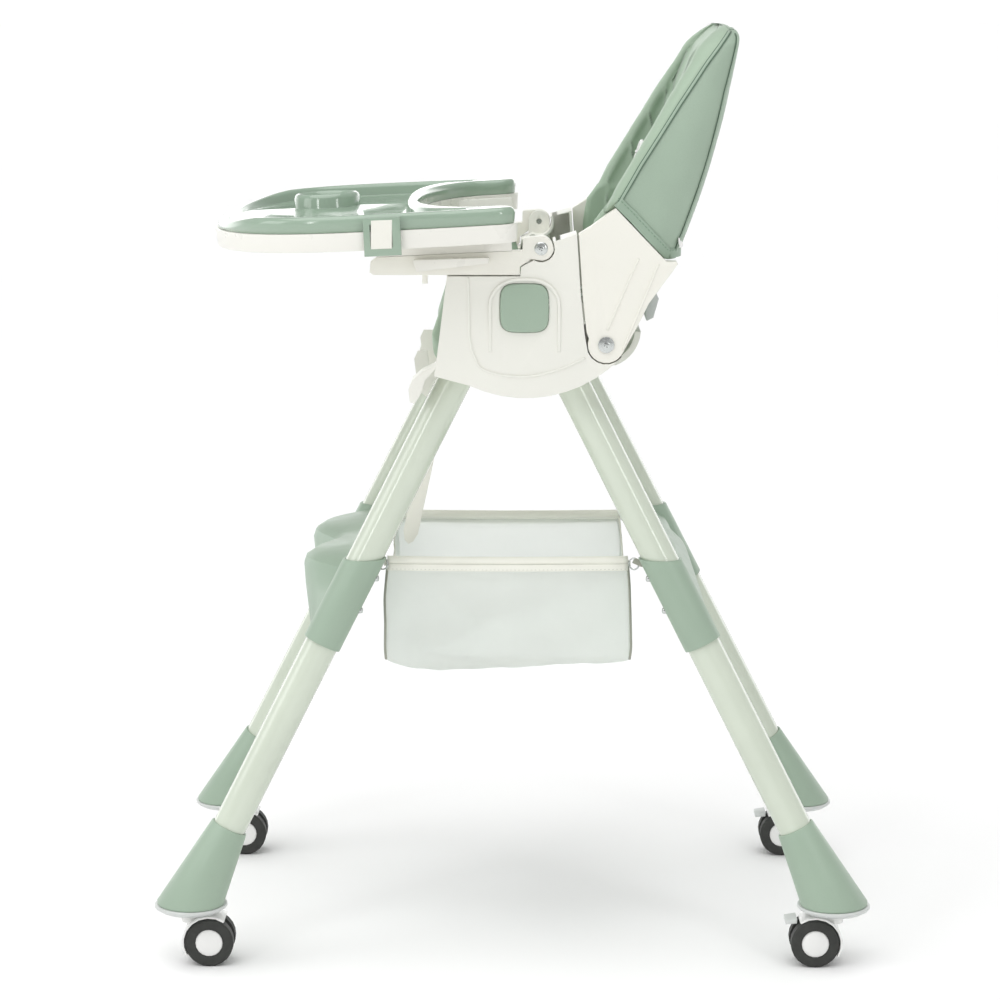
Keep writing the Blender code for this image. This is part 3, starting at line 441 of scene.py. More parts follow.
def band(width, thickness, sides=5):
    """A flat strip's section with rounded edges, resting on out = 0."""
    half, r = width / 2, thickness / 2
    right = [(half - r + r * math.sin(math.pi * i / sides), r - r * math.cos(math.pi * i / sides))
             for i in range(sides + 1)]
    left = [(-a, b) for a, b in reversed(right)]
    return right + left


def strip(name, path, width, thickness, look):
    return sweep(name, path, band(width, thickness), look)


def join(name, objects, look):
    """Join pieces that share a body and a material into one."""
    verts, faces = [], []
    for obj in objects:
        start = len(verts)
        verts += [v.co.copy() for v in obj.data.vertices]
        faces += [tuple(start + v for v in p.vertices) for p in obj.data.polygons]
        bpy.data.objects.remove(obj)
    return mesh_object(name, verts, faces, look)


def fasten(pieces, body):
    """Let pieces ride on a body."""
    for piece in pieces:
        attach(piece, body)


def leg_point(side, end, z):
    """The point of a leg's axis at height z."""
    t = (z - LEG_FOOT.z) / (LEG_HUB.z - LEG_FOOT.z)
    p = LEG_FOOT.lerp(LEG_HUB, t)
    return Vector((SIDES[side] * p.x, ENDS[end] * p.y, z))


# ---------------------------------------------------------------- backrest cover
def rear_line(z):
    """Rear line of the cover in the side view, rounded over at the top."""
    line = 0.1833 + 0.403 * (z - 0.80) - 0.472 * (z - 0.80) ** 2
    return line - 0.0115 * max(0.0, (z - 1.034) / 0.017) ** 2


def roll_line(z):
    """Front edge of the wings' padded roll."""
    line = max(0.0840, 0.0895 + 0.612 * (z - 0.8476)) + 0.0065 * smoothstep((z - 0.80) / 0.06)
    return line + 0.0130 * max(0.0, (z - 1.022) / 0.028) ** 2


def piping_line(z):
    """The seam between the outer skin and the roll, from the hem's peak to the top."""
    return along([(0.8570, 0.1150), (0.9000, 0.1400), (0.9655, 0.1829),
                  (1.0100, 0.2140), (1.0460, 0.2425)], z)


def half_width(z):
    """Half of the cover's width: straight, then narrowing, then rounded over the top."""
    if z <= 1.03:
        return 0.207 - 0.060 * max(0.0, (z - 0.86) / 0.17) ** 2
    return along([(1.0300, 0.1470), (1.0400, 0.1330), (1.0460, 0.1190),
                  (1.0495, 0.1010), (1.0508, 0.0800)], z)


def hem_line(y):
    """Height of the cover's outer hem: down the cheek from the peak, then level round the rear."""
    return along([HEM_PEAK, (0.1330, 0.8385), (0.1530, 0.8170), (HEM_LOW[0], HEM_LOW[1] + 0.001),
                  (HEM_REAR_Y, HEM_REAR_Z - 0.0015), (HEM_REAR_Y + 0.0045, HEM_REAR_Z)], y)


def outside(z, count, inset=0.0):
    """The outer skin's half outline at height z, from the rear middle round the corner to the piping."""
    rear, wide = rear_line(z) - inset, half_width(z) - inset
    corner = min(COVER_CORNER, (rear - piping_line(max(z, HEM_PEAK[1]))) * 0.95, wide * 0.5)
    points = [Vector((0, rear + 0.003, z)), Vector((wide * 0.30, rear + 0.0025, z)),
              Vector(((wide - corner) * 0.8, rear + 0.0008, z))]
    points += arc(wide - corner, rear - corner, z, corner, 1, 0, 12)
    edge = piping_line(z) if z > HEM_PEAK[1] else HEM_PEAK[0]
    if edge < points[-1].y - 1e-4:
        points.append(Vector((wide, edge, z)))
    else:
        kept = [p for p in points if p.y > edge]
        cut_from, cut_to = kept[-1], points[len(kept)]
        points = kept + [cut_from.lerp(cut_to, (cut_from.y - edge) / (cut_from.y - cut_to.y))]
    return resample(points, count)


def skin_x(y, z):
    """Half width of the outer skin at a place on its side or corner."""
    rear, wide = rear_line(z), half_width(z)
    corner = min(COVER_CORNER, (rear - piping_line(max(z, HEM_PEAK[1]))) * 0.95)
    over = y - (rear - corner)
    return wide if over <= 0 else wide - corner + math.sqrt(max(0.0, corner ** 2 - over ** 2))


def skin_normal(y, z, step=0.001):
    along_y = Vector((skin_x(y + step, z) - skin_x(y - step, z), 2 * step, 0))
    along_z = Vector((skin_x(y, z + step) - skin_x(y, z - step), 0, 2 * step))
    return along_y.cross(along_z).normalized()


def soft_noise(p, size, height):
    """Smooth noise of a given feature size and height, for the unevenness of soft goods."""
    return noise.noise(Vector(p) / size) * height


def outer_skin():
    """The stretched outer fabric: sides and back, closed by the hem below and the piping in front."""
    across, rows = 57, 90
    verts, faces = [], []
    hem = [hem_line(p.y) for p in outside(0.83, across)]
    for layer in (0.0, COVER_SKIN):
        for t in spread(0.0, 1.0, rows):
            half = []
            for k in range(across):
                p = outside(hem[k] + (SKIN_TOP_Z - hem[k]) * t, across, layer)[k]
                slack = 0.0012 * math.sin(math.pi * t) * math.sin(math.pi * k / (across - 1))
                half.append(p + Vector((p.x * 3, 0.5, 0)) * soft_noise(p, 0.060, slack))
            verts += [mirrored(p) for p in reversed(half[1:])] + half
    wide = 2 * across - 1
    inner = rows * wide
    for r in range(rows - 1):
        for k in range(wide - 1):
            a, b = r * wide + k, inner + r * wide + k
            faces += [(a, a + 1, a + wide + 1, a + wide), (b, b + wide, b + wide + 1, b + 1)]
        for k in (0, wide - 1):
            a, b = r * wide + k, (r + 1) * wide + k
            faces.append((a, b, inner + b, inner + a))
    for k in range(wide - 1):
        t = (rows - 1) * wide + k
        faces += [(k, inner + k, inner + k + 1, k + 1), (t, t + 1, inner + t + 1, inner + t)]
    return outward(mesh_object("cover_outer_skin", verts, faces, "sage_leather"))


def pad_half_ring(z, count_hidden=16, count_seen=104):
    """Half the padding's outline at height z: hidden rear first, then the roll and the seen inside face."""
    wide, rear, front = half_width(z), rear_line(z), roll_line(z)
    full = smoothstep((z - 0.850) / 0.012)      # 0 tucked behind the cheeks, 1 out to the cover's width
    top = smoothstep((z - 1.020) / 0.020)       # 1 above the shell, where the pocket has closed
    skin = 0.0032
    back = rear - POCKET * (1 - top) - skin * top
    side = wide - POCKET_SIDE * (1 - top) - skin * top - 0.009 * smoothstep((0.775 - z) / 0.018)
    outer = side + (wide - side) * full
    front += 0.001 * (1 - full)
    edge = front + 0.016
    if full > 0:
        edge = max(edge, piping_line(max(z, HEM_PEAK[1])))
    edge = min(edge, back - 0.004)
    inner = min(max(0.02, wide - WING), outer - 0.012)
    face = rear - min(PAD, (rear - front) * 0.80)
    corner = min(0.035 * (1 - top) + 0.012 * top, (back - edge) * 0.9 + 0.004)
    hidden = [Vector((0, back, z)), *arc(side - corner, back - corner, z, corner, 1, 0, 6)]
    hidden.append(Vector((side, min(edge + 0.004, back - corner), z)))
    nose, mid = (outer - inner) / 2, (outer + inner) / 2
    reach = min(nose, (edge - front) * 0.9)
    seen = [Vector((outer, edge, z))]
    if edge - (front + reach) > 0.002:
        seen.append(Vector((outer + 0.0012, (edge + front + reach) / 2, z)))
    for i in range(1, 16):
        a = math.pi * i / 16
        seen.append(Vector((mid + nose * math.cos(a), front + reach - reach * math.sin(a), z)))
    room = face - front - reach
    turn = max(0.002, min(0.042, room * 0.95 if room > 0.004 else 0.003, inner * 0.5))
    seen += arc(inner - turn, face - turn, z, turn, 0, 1, 10)
    seen += [Vector((0.5 * inner, face + 0.0015, z)), Vector((0, face + 0.0015, z))]
    return resample(hidden, count_hidden), resample(seen, count_seen)


def chevron(height, reach):
    """Distance in metres from the nearest sewn line of the chevron quilting."""
    steep = 0.85 * min(reach, 0.150) + 2.6 * max(0.0, reach - 0.150)
    phase = (height - steep) / QUILT_PITCH
    return abs(phase - round(phase)) * QUILT_PITCH * 0.72


def back_padding():
    """The padded, chevron-quilted inside of the backrest, with a plump roll down each wing."""
    levels = spread(PAD_LOW_Z, 1.040, 119)
    levels += [1.0425, 1.0447, 1.0465, 1.0480, 1.0491, 1.0499, 1.0505, PAD_TOP_Z]
    rings, marks = [], []
    lean = 1 / math.cos(math.atan(0.36))
    for z in levels:
        hidden, seen = pad_half_ring(z)
        reach, run = [0.0] * len(seen), 0.0
        for i in range(len(seen) - 2, -1, -1):
            run += (seen[i] - seen[i + 1]).length
            reach[i] = run
        inside = reach[0] - 0.040
        half, seam_shade = list(hidden), [0.0] * len(hidden)
        for i, p in enumerate(seen):
            ahead = ahead_at(seen, i)
            normal = Vector((ahead.y, -ahead.x, 0)).normalized()
            fade = smoothstep((inside - reach[i]) / 0.012) * smoothstep((1.030 - z) / 0.02)
            gap = chevron((z - 0.770) * lean, reach[i])
            channel = math.exp(-(gap / 0.0026) ** 2) * fade
            plump = 0.0042 * (1 - math.exp(-gap / 0.011)) * fade - 0.0034 * channel
            plump += soft_noise(p, 0.045, 0.0012) + soft_noise(p, 0.012, 0.00035)
            half.append(p + normal * plump * min(1.0, i / 4))
            # painted shade with thread colour, strongest on each sewn line of the quilting
            seam_shade.append(math.exp(-(gap / 0.0015) ** 2) * fade)
        rings.append(half + [mirrored(p) for p in reversed(half[1:-1])])
        marks += seam_shade + list(reversed(seam_shade[1:-1]))
    for p in [p for ring in rings for p in ring]:
        # the roll's end hangs down over the cheek
        if p.z > 0.850 and abs(p.x) > 0.184 and p.y < 0.135:
            p.z -= 0.45 * max(0.0, HEM_PEAK[0] - p.y) * smoothstep((0.905 - p.z) / 0.045)
    obj = outward(mesh_object("back_padding", *loft(rings), "pad_leather"))
    store_seam_shade(obj, marks)
    return obj


def store_seam_shade(obj, marks):
    """Store how close each vertex lies to a sewn line, for the material's painted shade and thread colour
    along the channels.
    """
    layer = obj.data.attributes.new("seam", "FLOAT", "POINT")
    layer.data.foreach_set("value", marks)


def on_skin(y, z, side, lift=0.0):
    """A point on the outer skin and its normal, on one side."""
    n = skin_normal(y, z)
    p = Vector((skin_x(y, z), y, z)) + n * lift
    return (p, n) if side > 0 else (mirrored(p), mirrored(n))


def cover_seams():
    """Piping up the wings and over the top, the bound hem, the rear welts, their stitches and the label."""
    made = []
    for label, side in SIDES.items():
        heights = spread(HEM_PEAK[1] - 0.002, SKIN_TOP_Z - 0.002, 61)
        path = [on_skin(piping_line(z), z, side, 0.0006) for z in heights]
        made.append(sweep(f"piping_{label}", path, circle(PIPING_RADIUS), "sage_leather"))
        # painted shadow: a dark strip under the piping stands for the shadows along both its sides
        made.append(strip(f"piping_shadow_{label}", path, 0.0048, 0.0010, "crease"))
        welt = []
        for z in spread(HEM_REAR_Z + 0.008, HEM_REAR_Z + 0.242, 61):
            back = 0.0078 - 0.0030 * smoothstep((z - 0.97) / 0.07)
            welt.append(on_skin(rear_line(z) - back, z, side, 0.0002))
        # painted shade: a dark strip for the shadow in the rear seam's groove, beside the raised welt
        made.append(strip(f"rear_seam_shadow_{label}", welt, 0.0014, 0.0008, "crease"))
        raised = [(p + n * 0.0001 + Vector((0, 0.0018, 0)), n) for p, n in welt]
        made.append(strip(f"rear_welt_{label}", raised, 0.0022, 0.0012, "sage_leather"))
        hem = [(y, hem_line(y)) for y in spread(HEM_PEAK[0] + 0.001, HEM_REAR_Y + 0.001, 61)]
        edge = [on_skin(y, z + 0.0050, side, 0.0002) for y, z in hem]
        made.append(strip(f"hem_binding_{label}", edge, BINDING_WIDTH, BINDING_THICKNESS, "binding"))
        thread = [on_skin(y, z + 0.0092, side, 0.0019) for y, z in hem]
        made.append(stitches(f"hem_stitches_{label}_0", *zip(*thread), "stitch"))
    half = [p for p in outside(HEM_REAR_Z + 0.0050, 81) if p.y > 0.1720]
    line = [mirrored(p) for p in reversed(half[1:])] + half
    rear = []
    for i, p in enumerate(line):
        ahead = ahead_at(line, i)
        normal = Vector((-ahead.y, ahead.x, 0)).normalized()
        rear.append((p + normal * 0.0002, normal if normal.y > 0 or normal.x * p.x > 0 else -normal))
    made.append(strip("hem_binding_rear", rear, BINDING_WIDTH, BINDING_THICKNESS, "binding"))
    wide, y_end, z = TOP_PIPING
    top = [Vector((x, y_end + 0.0045 * (1 - abs(x / wide) ** 6), z)) for x in spread(-wide, wide, 41)]
    made.append(sweep("piping_top", [(p, (0, 0.7, 0.7)) for p in top], circle(PIPING_RADIUS), "sage_leather"))
    return made


def stitches(name, line, normals, look, length=0.0030, gap=0.0016, radius=0.00035):
    """A row of thread stitches along a line."""
    total = sum((b - a).length for a, b in zip(line, line[1:]))
    count = max(2, int(total / (length + gap)))
    even = resample(line, count * 4 + 1)
    verts, faces = [], []
    for i in range(count):
        a, b = even[i * 4], even[i * 4].lerp(even[i * 4 + 4], length / (length + gap))
        normal = normals[int(i / count * len(normals))]
        across = (b - a).normalized().cross(normal).normalized()
        start = len(verts)
        for t, bow in ((0.0, -0.4), (0.25, 0.8), (0.75, 0.8), (1.0, -0.4)):
            centre = a.lerp(b, t) + normal * radius * bow
            for c, s in ((1, 0), (0, 1), (-1, 0), (0, -1)):
                verts.append(centre + across * radius * 1.3 * c + normal * radius * s)
        for r in range(start, start + 12, 4):
            for k in range(4):
                j = (k + 1) % 4
                faces.append((r + k, r + j, r + 4 + j, r + 4 + k))
        faces.append((start, start + 3, start + 2, start + 1))
        faces.append((start + 12, start + 13, start + 14, start + 15))
    return mesh_object(name, verts, faces, look)


def blank_label():
    """The small sewn-in care label, left blank, folded out of the rear seam near the hem."""
    z = 0.8155
    root, normal = on_skin(rear_line(z) - 0.0075, z, 1, 0.0004)
    path = []
    for t in spread(0.0, 1.0, 13):
        out = 0.0020 + 0.0022 * math.sin(math.pi * t)
        edge = Vector((root.x, root.y - 0.0010 * math.sin(5 * t), z + 0.0050 - 0.0100 * t))
        path.append((edge + normal * out, normal))
    return strip("care_label", path, 0.0065, 0.0006, "label")


def build_cover():
    pad = back_padding()
    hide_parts("back_cover")
    fasten([pad, outer_skin(), blank_label(), *cover_seams()], "backrest")


# ---------------------------------------------------------------- seat cushion
def run_cloth(obj, frames):
    """Play a Cloth modifier over its frames and bake the last one into the mesh."""
    for number in range(1, frames + 1):
        bpy.context.scene.frame_set(number)
    apply_modifiers(obj)
    bpy.context.scene.frame_set(1)


def puff(obj, pressure, frames, cap):
    """Inflate a closed mesh with a cloth simulation and keep each point within cap of its start."""
    start = [v.co.copy() for v in obj.data.vertices]
    cloth = obj.modifiers.new("puff", "CLOTH")
    cloth.settings.quality = 4
    cloth.settings.mass = 0.2
    cloth.settings.tension_stiffness = cloth.settings.compression_stiffness = 25
    cloth.settings.bending_stiffness = 2
    cloth.settings.use_pressure = True
    cloth.settings.uniform_pressure_force = pressure
    cloth.settings.effector_weights.gravity = 0.0
    cloth.collision_settings.use_self_collision = False
    run_cloth(obj, frames)
    for v, at in zip(obj.data.vertices, start):
        move = v.co - at
        if move.length > cap:
            v.co = at + move.normalized() * cap


def apply_modifiers(obj):
    """Bake the modifiers into the mesh."""
    graph = bpy.context.evaluated_depsgraph_get()
    baked = bpy.data.meshes.new_from_object(obj.evaluated_get(graph))
    obj.modifiers.clear()
    old, obj.data = obj.data, baked
    bpy.data.meshes.remove(old)


def subdivide(obj):
    refine = obj.modifiers.new("refine", "SUBSURF")
    refine.levels = refine.render_levels = 1
    apply_modifiers(obj)


def seat_cushion():
    """The quilted seat pad: the CAD solid remeshed, puffed up, then sewn into channels."""
    obj = linked("seat_pad", NODES["seat_cushion"].data.copy())
    obj.data.materials.clear()
    obj.data.materials.append(MATERIALS["pad_leather"])
    low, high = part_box("seat_cushion")
    middle = (low + high) / 2
    for v in obj.data.vertices:
        v.co = middle + (v.co - middle) * 0.985
    remesh = obj.modifiers.new("remesh", "REMESH")
    remesh.mode, remesh.voxel_size, remesh.use_smooth_shade = "VOXEL", 0.0045, True
    smooth = obj.modifiers.new("smooth", "SMOOTH")
    smooth.iterations, smooth.factor = 6, 0.6
    apply_modifiers(obj)
    puff(obj, 3.5, 16, 0.004)
    subdivide(obj)
    pitch = QUILT_PITCH / 1.25
    marks = []
    normals = [v.normal.copy() for v in obj.data.vertices]
    for v, n in zip(obj.data.vertices, normals):
        line = (v.co.y + 0.55 * abs(v.co.x) - low.y) / pitch
        gap = abs(line - round(line)) * pitch * 0.87
        top = smoothstep((n.z - 0.35) / 0.4)
        plump = 0.0030 * (1 - math.exp(-gap / 0.010)) - 0.0030 * math.exp(-(gap / 0.0028) ** 2)
        v.co += n * (plump * top + soft_noise(v.co, 0.040, 0.0010))
        # painted shade with thread colour, strongest on each sewn line of the channels
        marks.append(math.exp(-(gap / 0.0012) ** 2) * top)
    store_seam_shade(obj, marks)
    shade_smooth(obj.data)
    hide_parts("seat_cushion")
    fasten([obj], "chair")


# ---------------------------------------------------------------- basket
def basket_panel_point(u, v):
    """A point of the basket's unhung sides: u runs round the rim, v from the rim down to the floor."""
    x0, (y0, y1) = BASKET_X, BASKET_Y
    corners = [(x0, y0), (x0, y1), (-x0, y1), (-x0, y0)]
    side = int(u * 4) % 4
    p = Vector(corners[side]).lerp(Vector(corners[(side + 1) % 4]), u * 4 - int(u * 4))
    out = 1 + 0.045 * math.sin(math.pi * 0.6 * v)
    return Vector((p.x * out, p.y * out, BASKET_RIM_Z - BASKET_DEPTH * v * (0.90 + 0.10 * min(1, 6 * v))))


def basket_cage():
    """The basket's cutting pattern sewn up: four sides round a floor, as a bmesh."""
    bm = bmesh.new()
    rows = []
    for v in spread(0.0, 1.0, BASKET_ROWS + 1):
        rows.append([bm.verts.new(basket_panel_point(k / BASKET_RIM, v)) for k in range(BASKET_RIM)])
    for upper, lower in zip(rows, rows[1:]):
        for k in range(BASKET_RIM):
            j = (k + 1) % BASKET_RIM
            bm.faces.new((upper[k], upper[j], lower[j], lower[k]))
    edge, last = rows[-1], BASKET_SIDE
    grid = [[None] * (last + 1) for _ in range(last + 1)]
    for i in range(last + 1):
        grid[i][0] = edge[i]
        grid[last][i] = edge[last + i]
        grid[last - i][last] = edge[2 * last + i]
        grid[0][last - i] = edge[(3 * last + i) % BASKET_RIM]
    for i in range(1, last):
        for j in range(1, last):
            a = grid[i][0].co.lerp(grid[i][last].co, j / last)
            b = grid[0][j].co.lerp(grid[last][j].co, i / last)
            grid[i][j] = bm.verts.new((a + b) / 2)
    for i in range(last):
        for j in range(last):
            bm.faces.new((grid[i][j], grid[i + 1][j], grid[i + 1][j + 1], grid[i][j + 1]))
    return bm


def basket_fabric():
    """The sagging fabric tub, hung on the two rods by a cloth simulation."""
    obj = bmesh_object("basket_fabric", basket_cage(), "mesh_fabric")
    pins = []
    for v in obj.data.vertices:
        if v.index < BASKET_RIM and abs(abs(v.co.x) - BASKET_X) < 1e-4:
            pins.append(v.index)
        else:
            # the two ends start with a droop between the rods
            depth = (BASKET_RIM_Z - v.co.z) / BASKET_DEPTH
            v.co.z -= 0.030 * (1 - (v.co.x / BASKET_X) ** 2) * max(0.0, 1 - 2 * depth)
            v.co += Vector((soft_noise(v.co, 0.04, 0.003), soft_noise(v.co + Vector((3, 1, 2)), 0.05, 0.003),
                            soft_noise(v.co + Vector((7, 5, 1)), 0.05, 0.003)))
    group = obj.vertex_groups.new(name="pinned")
    group.add(pins, 1.0, "REPLACE")
    cloth = obj.modifiers.new("hang", "CLOTH")
    settings = cloth.settings
    settings.quality = 6
    settings.mass = 0.0045
    settings.tension_stiffness = settings.compression_stiffness = 80
    settings.shear_stiffness = 15
    settings.bending_stiffness = 0.4
    settings.air_damping = 2
    settings.shrink_min = 0.002
    settings.vertex_group_mass = "pinned"
    cloth.collision_settings.use_self_collision = False
    run_cloth(obj, 45)
    obj.vertex_groups.clear()
    subdivide(obj)
    normals = [v.normal.copy() for v in obj.data.vertices]
    for v, n in zip(obj.data.vertices, normals):
        low = smoothstep((BASKET_RIM_Z - 0.012 - v.co.z) / 0.03)
        crease = soft_noise((v.co.x, v.co.y, v.co.z * 0.5), 0.018, 0.0009) + soft_noise(v.co, 0.050, 0.0022)
        v.co += n * crease * low
    return obj


def basket_hem(label, side):
    """The hem sewn round a rod: its sleeve, the fold below it and the row of stitches."""
    facing = Vector((side, 0, 0))
    path = []
    for t, y in zip(spread(0.0, math.pi, 50), spread(*BASKET_Y, 50)):
        path.append((Vector((side * BASKET_X, y, BASKET_RIM_Z + 0.0036 - 0.0012 * math.sin(t))), (0, 0, 1)))
    pocket = [(0.0049 * math.cos(a), 0.0046 * math.sin(a)) for a in turns(18)]
    fall = [(p + Vector((side * 0.0034, 0, -0.0078)), facing) for p, _ in path]
    thread = [p + Vector((side * 0.0043, 0, -0.0098)) for p, _ in path]
    return [sweep(f"hem_sleeve_{label}", path, pocket, "hem_fabric"),
            strip(f"hem_fold_{label}", fall, 0.0078, 0.0014, "hem_fabric"),
            stitches(f"hem_thread_{label}", thread, [facing] * 50, "seam_tape")]


def build_basket():
    fabric = basket_fabric()
    # the cage's vertices keep their numbers through subdivision
    marks = [v.co.copy() for v in fabric.data.vertices[:BASKET_RIM * (BASKET_ROWS + 1)]]
    made = [fabric]
    for corner in range(4):
        path = marks[corner * BASKET_SIDE::BASKET_RIM]
        outer = Vector((math.copysign(1, path[0].x), math.copysign(1, path[0].y), 0)).normalized()
        path = [(p + outer * 0.0004, outer) for p in curve_through(path[::2], 40)]
        made.append(strip(f"corner_binding_{corner}", path, 0.0034, 0.0016, "seam_tape"))
    for end, facing in ((1, 1), (3, -1)):
        line = [marks[(end * BASKET_SIDE + k) % BASKET_RIM] for k in range(BASKET_SIDE + 1)]
        path = [(p - Vector((0, 0, 0.002)), (0, facing, 0)) for p in curve_through(line[::2], 60)]
        made.append(strip(f"end_binding_{end}", path, 0.0070, 0.0016, "hem_fabric"))
    for label, side in SIDES.items():
        made += basket_hem(label, side)
        for end_label, end in ENDS.items():
            made += hanging_strap(label, side, end_label, end)
    fasten(made, "chair")
    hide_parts("basket")


def hanging_strap(label, side, end_label, end):
    """A short tape and a wire ring that tie the hem's end to the leg sleeve."""
    leg = leg_point(label, end_label, 0.4480)
    hem_end = Vector((side * BASKET_X, BASKET_Y[0] if end < 0 else BASKET_Y[1], BASKET_RIM_Z))
    ring_at = hem_end.lerp(leg, 0.16)
    ring = [ring_at + Vector((0.0018 * math.cos(a), 0.0055 * math.cos(a), 0.0065 * math.sin(a)))
            for a in turns(24)]
    stop = leg - (leg - hem_end).normalized() * (SLEEVE_RADIUS - 0.002)
    route = [ring_at + Vector((0, 0, 0.004)), ring_at.lerp(stop, 0.5) + Vector((0, 0, 0.0015)),
             stop + Vector((0, 0, 0.004))]
    path = [(p, (side, 0, 0.3)) for p in curve_through(route, 12)]
    return [tube(f"strap_ring_{end_label}_{label}", ring + [ring[0]], 0.0009, "steel", (1, 0, 0.01), 8),
            strip(f"hanging_strap_{end_label}_{label}", path, 0.0070, 0.0014, "seam_tape")]


# ---------------------------------------------------------------- harness
def harness():
    """Flat webbing: two shoulder straps, two waist straps and a crotch strap, with their adjusters."""
    low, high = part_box("harness_buckle")
    top = Vector(((low.x + high.x) / 2, (low.y + high.y) / 2, high.z))
    for label, side in SIDES.items():
        x, slot_z = side * 0.0560, 0.9360
        face = rear_line(slot_z) - PAD - 0.004
        route = [(x, face + 0.016, slot_z), (x, face - 0.003, slot_z - 0.003),
                 (x, face - 0.012, slot_z - 0.014)]
        for share, z, proud in ((0.98, 0.902, 0.020), (0.9, 0.840, 0.014), (0.8, 0.780, 0.012)):
            route.append((x * share, rear_line(z) - PAD - proud, z))
        route += [(x * 0.62, 0.068, 0.732), (x * 0.42, 0.020, 0.7245),
                  (side * 0.0125, top.y + 0.016, top.z - 0.0015)]
        line = curve_through(route, 90)
        path = []
        for i, p in enumerate(line):
            n = Vector((1, 0, 0)).cross(ahead_at(line, i)).normalized()
            path.append((p, n if n.y < 0 or n.z > 0.5 else -n))
        strap = strip(f"shoulder_strap_{label}", path, STRAP_WIDTH, STRAP_THICKNESS, "webbing")
        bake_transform(strap)
        k = min(range(1, 60), key=lambda i: abs(line[i].z - 0.9013))
        at, normal = path[k]
        adjuster = slide_buckle(f"strap_adjuster_{label}", at + normal * 0.0010,
                                ahead_at(line, k).normalized(), normal)
        fasten([adjuster], "backrest")
        route = [(side * 0.1330, 0.0560, 0.7200), (side * 0.1080, 0.0380, 0.7230),
                 (side * 0.0600, 0.0080, 0.7215), (side * 0.0200, top.y + 0.006, top.z - 0.002)]
        path = [(p, (0, 0, 1)) for p in curve_through(route, 40)]
        waist = strip(f"waist_strap_{label}", path, STRAP_WIDTH, STRAP_THICKNESS, "webbing")
        fasten([waist], "chair")
    route = [(0, -0.0560, 0.7020), (0, -0.0500, 0.7085), (0, -0.0380, top.z - 0.004)]
    path = [(p, (0, -0.35, 1)) for p in curve_through(route, 16)]
    fasten([strip("crotch_strap", path, 0.0300, 0.0018, "webbing")], "chair")


def slide_buckle(name, at, ahead, normal):
    """A ladder-lock slide: a rounded frame with a middle bar."""
    across = ahead.cross(normal).normalized()
    half_w, half_h, wire = 0.0175, 0.0130, 0.0021
    outline = []
    for a in turns(28):
        c, s = (math.copysign(abs(f(a)) ** 0.5, f(a)) for f in (math.cos, math.sin))
        outline.append(at + across * half_w * c + ahead * half_h * s + normal * 0.001)
    bar = [at + across * half_w * t + normal * lift for t, lift in ((-1, 0.0022), (0, 0.0030), (1, 0.0022))]
    return join(name, [tube(name + "_loop", outline + [outline[0]], wire, "hood_white", normal, 8),
                       tube(name + "_bar", bar, wire * 0.9, "hood_white", normal, 8)], "hood_white")


# ---------------------------------------------------------------- small fittings
def emboss(name, outline, side, x, width, height, look, body, points, fade=0):
    """A raised line through (y, z) points on a side face at x; fade points sink in at each end."""
    path = []
    for i, p in enumerate(curve_through([(0, *p) for p in outline], points)):
        sunk = 1 - min(1.0, i / fade, (points - 1 - i) / fade) if fade else 0
        path.append((Vector((side * (x - 0.0010 * sunk), p.y, p.z)), (side, 0, 0)))
    fasten([strip(name, path, width, height, look)], body)


def shell_relief():
    """Moulded steps on the side shells: the arch round the button, the inner border and the cheek ridges."""
    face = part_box("side_housing_left")[1].x
    arch = [(-0.0248, 0.6960), (-0.0248, 0.7250), (-0.0248, 0.7480), (-0.0220, 0.7590), (-0.0140, 0.7690),
            (-0.0020, 0.7748), (0.0131, 0.7762), (0.0285, 0.7748), (0.0405, 0.7690), (0.0485, 0.7590),
            (0.0512, 0.7480), (0.0512, 0.7250), (0.0512, 0.6960)]
    border = [(-0.0490, 0.7785), (-0.0480, 0.7425), (-0.0468, 0.7071), (-0.0413, 0.6894), (-0.0332, 0.6772),
              (-0.0083, 0.6698), (0.0215, 0.6695), (0.0535, 0.6773), (0.0800, 0.6895)]
    ridges = ([(0.1382, 0.7992), (0.1210, 0.7590), (0.1045, 0.7200)],
              [(0.1600, 0.7930), (0.1434, 0.7515), (0.1300, 0.7190), (0.1215, 0.6990)])
    for label, side in SIDES.items():
        emboss(f"button_arch_{label}", arch, side, face + 0.0004, 0.0036, 0.0016,
               "cream_plastic", "chair", 110, 22)
        emboss(f"shell_border_{label}", border, side, face - 0.0002, 0.0026, 0.0014,
               "cream_plastic", "chair", 120)
        for n, ridge in enumerate(ridges):
            emboss(f"cheek_ridge_{n}_{label}", ridge, side, CHEEK_FACE_X - 0.0003, 0.0024, 0.0014,
                   "cheek_plastic", "backrest", 50)


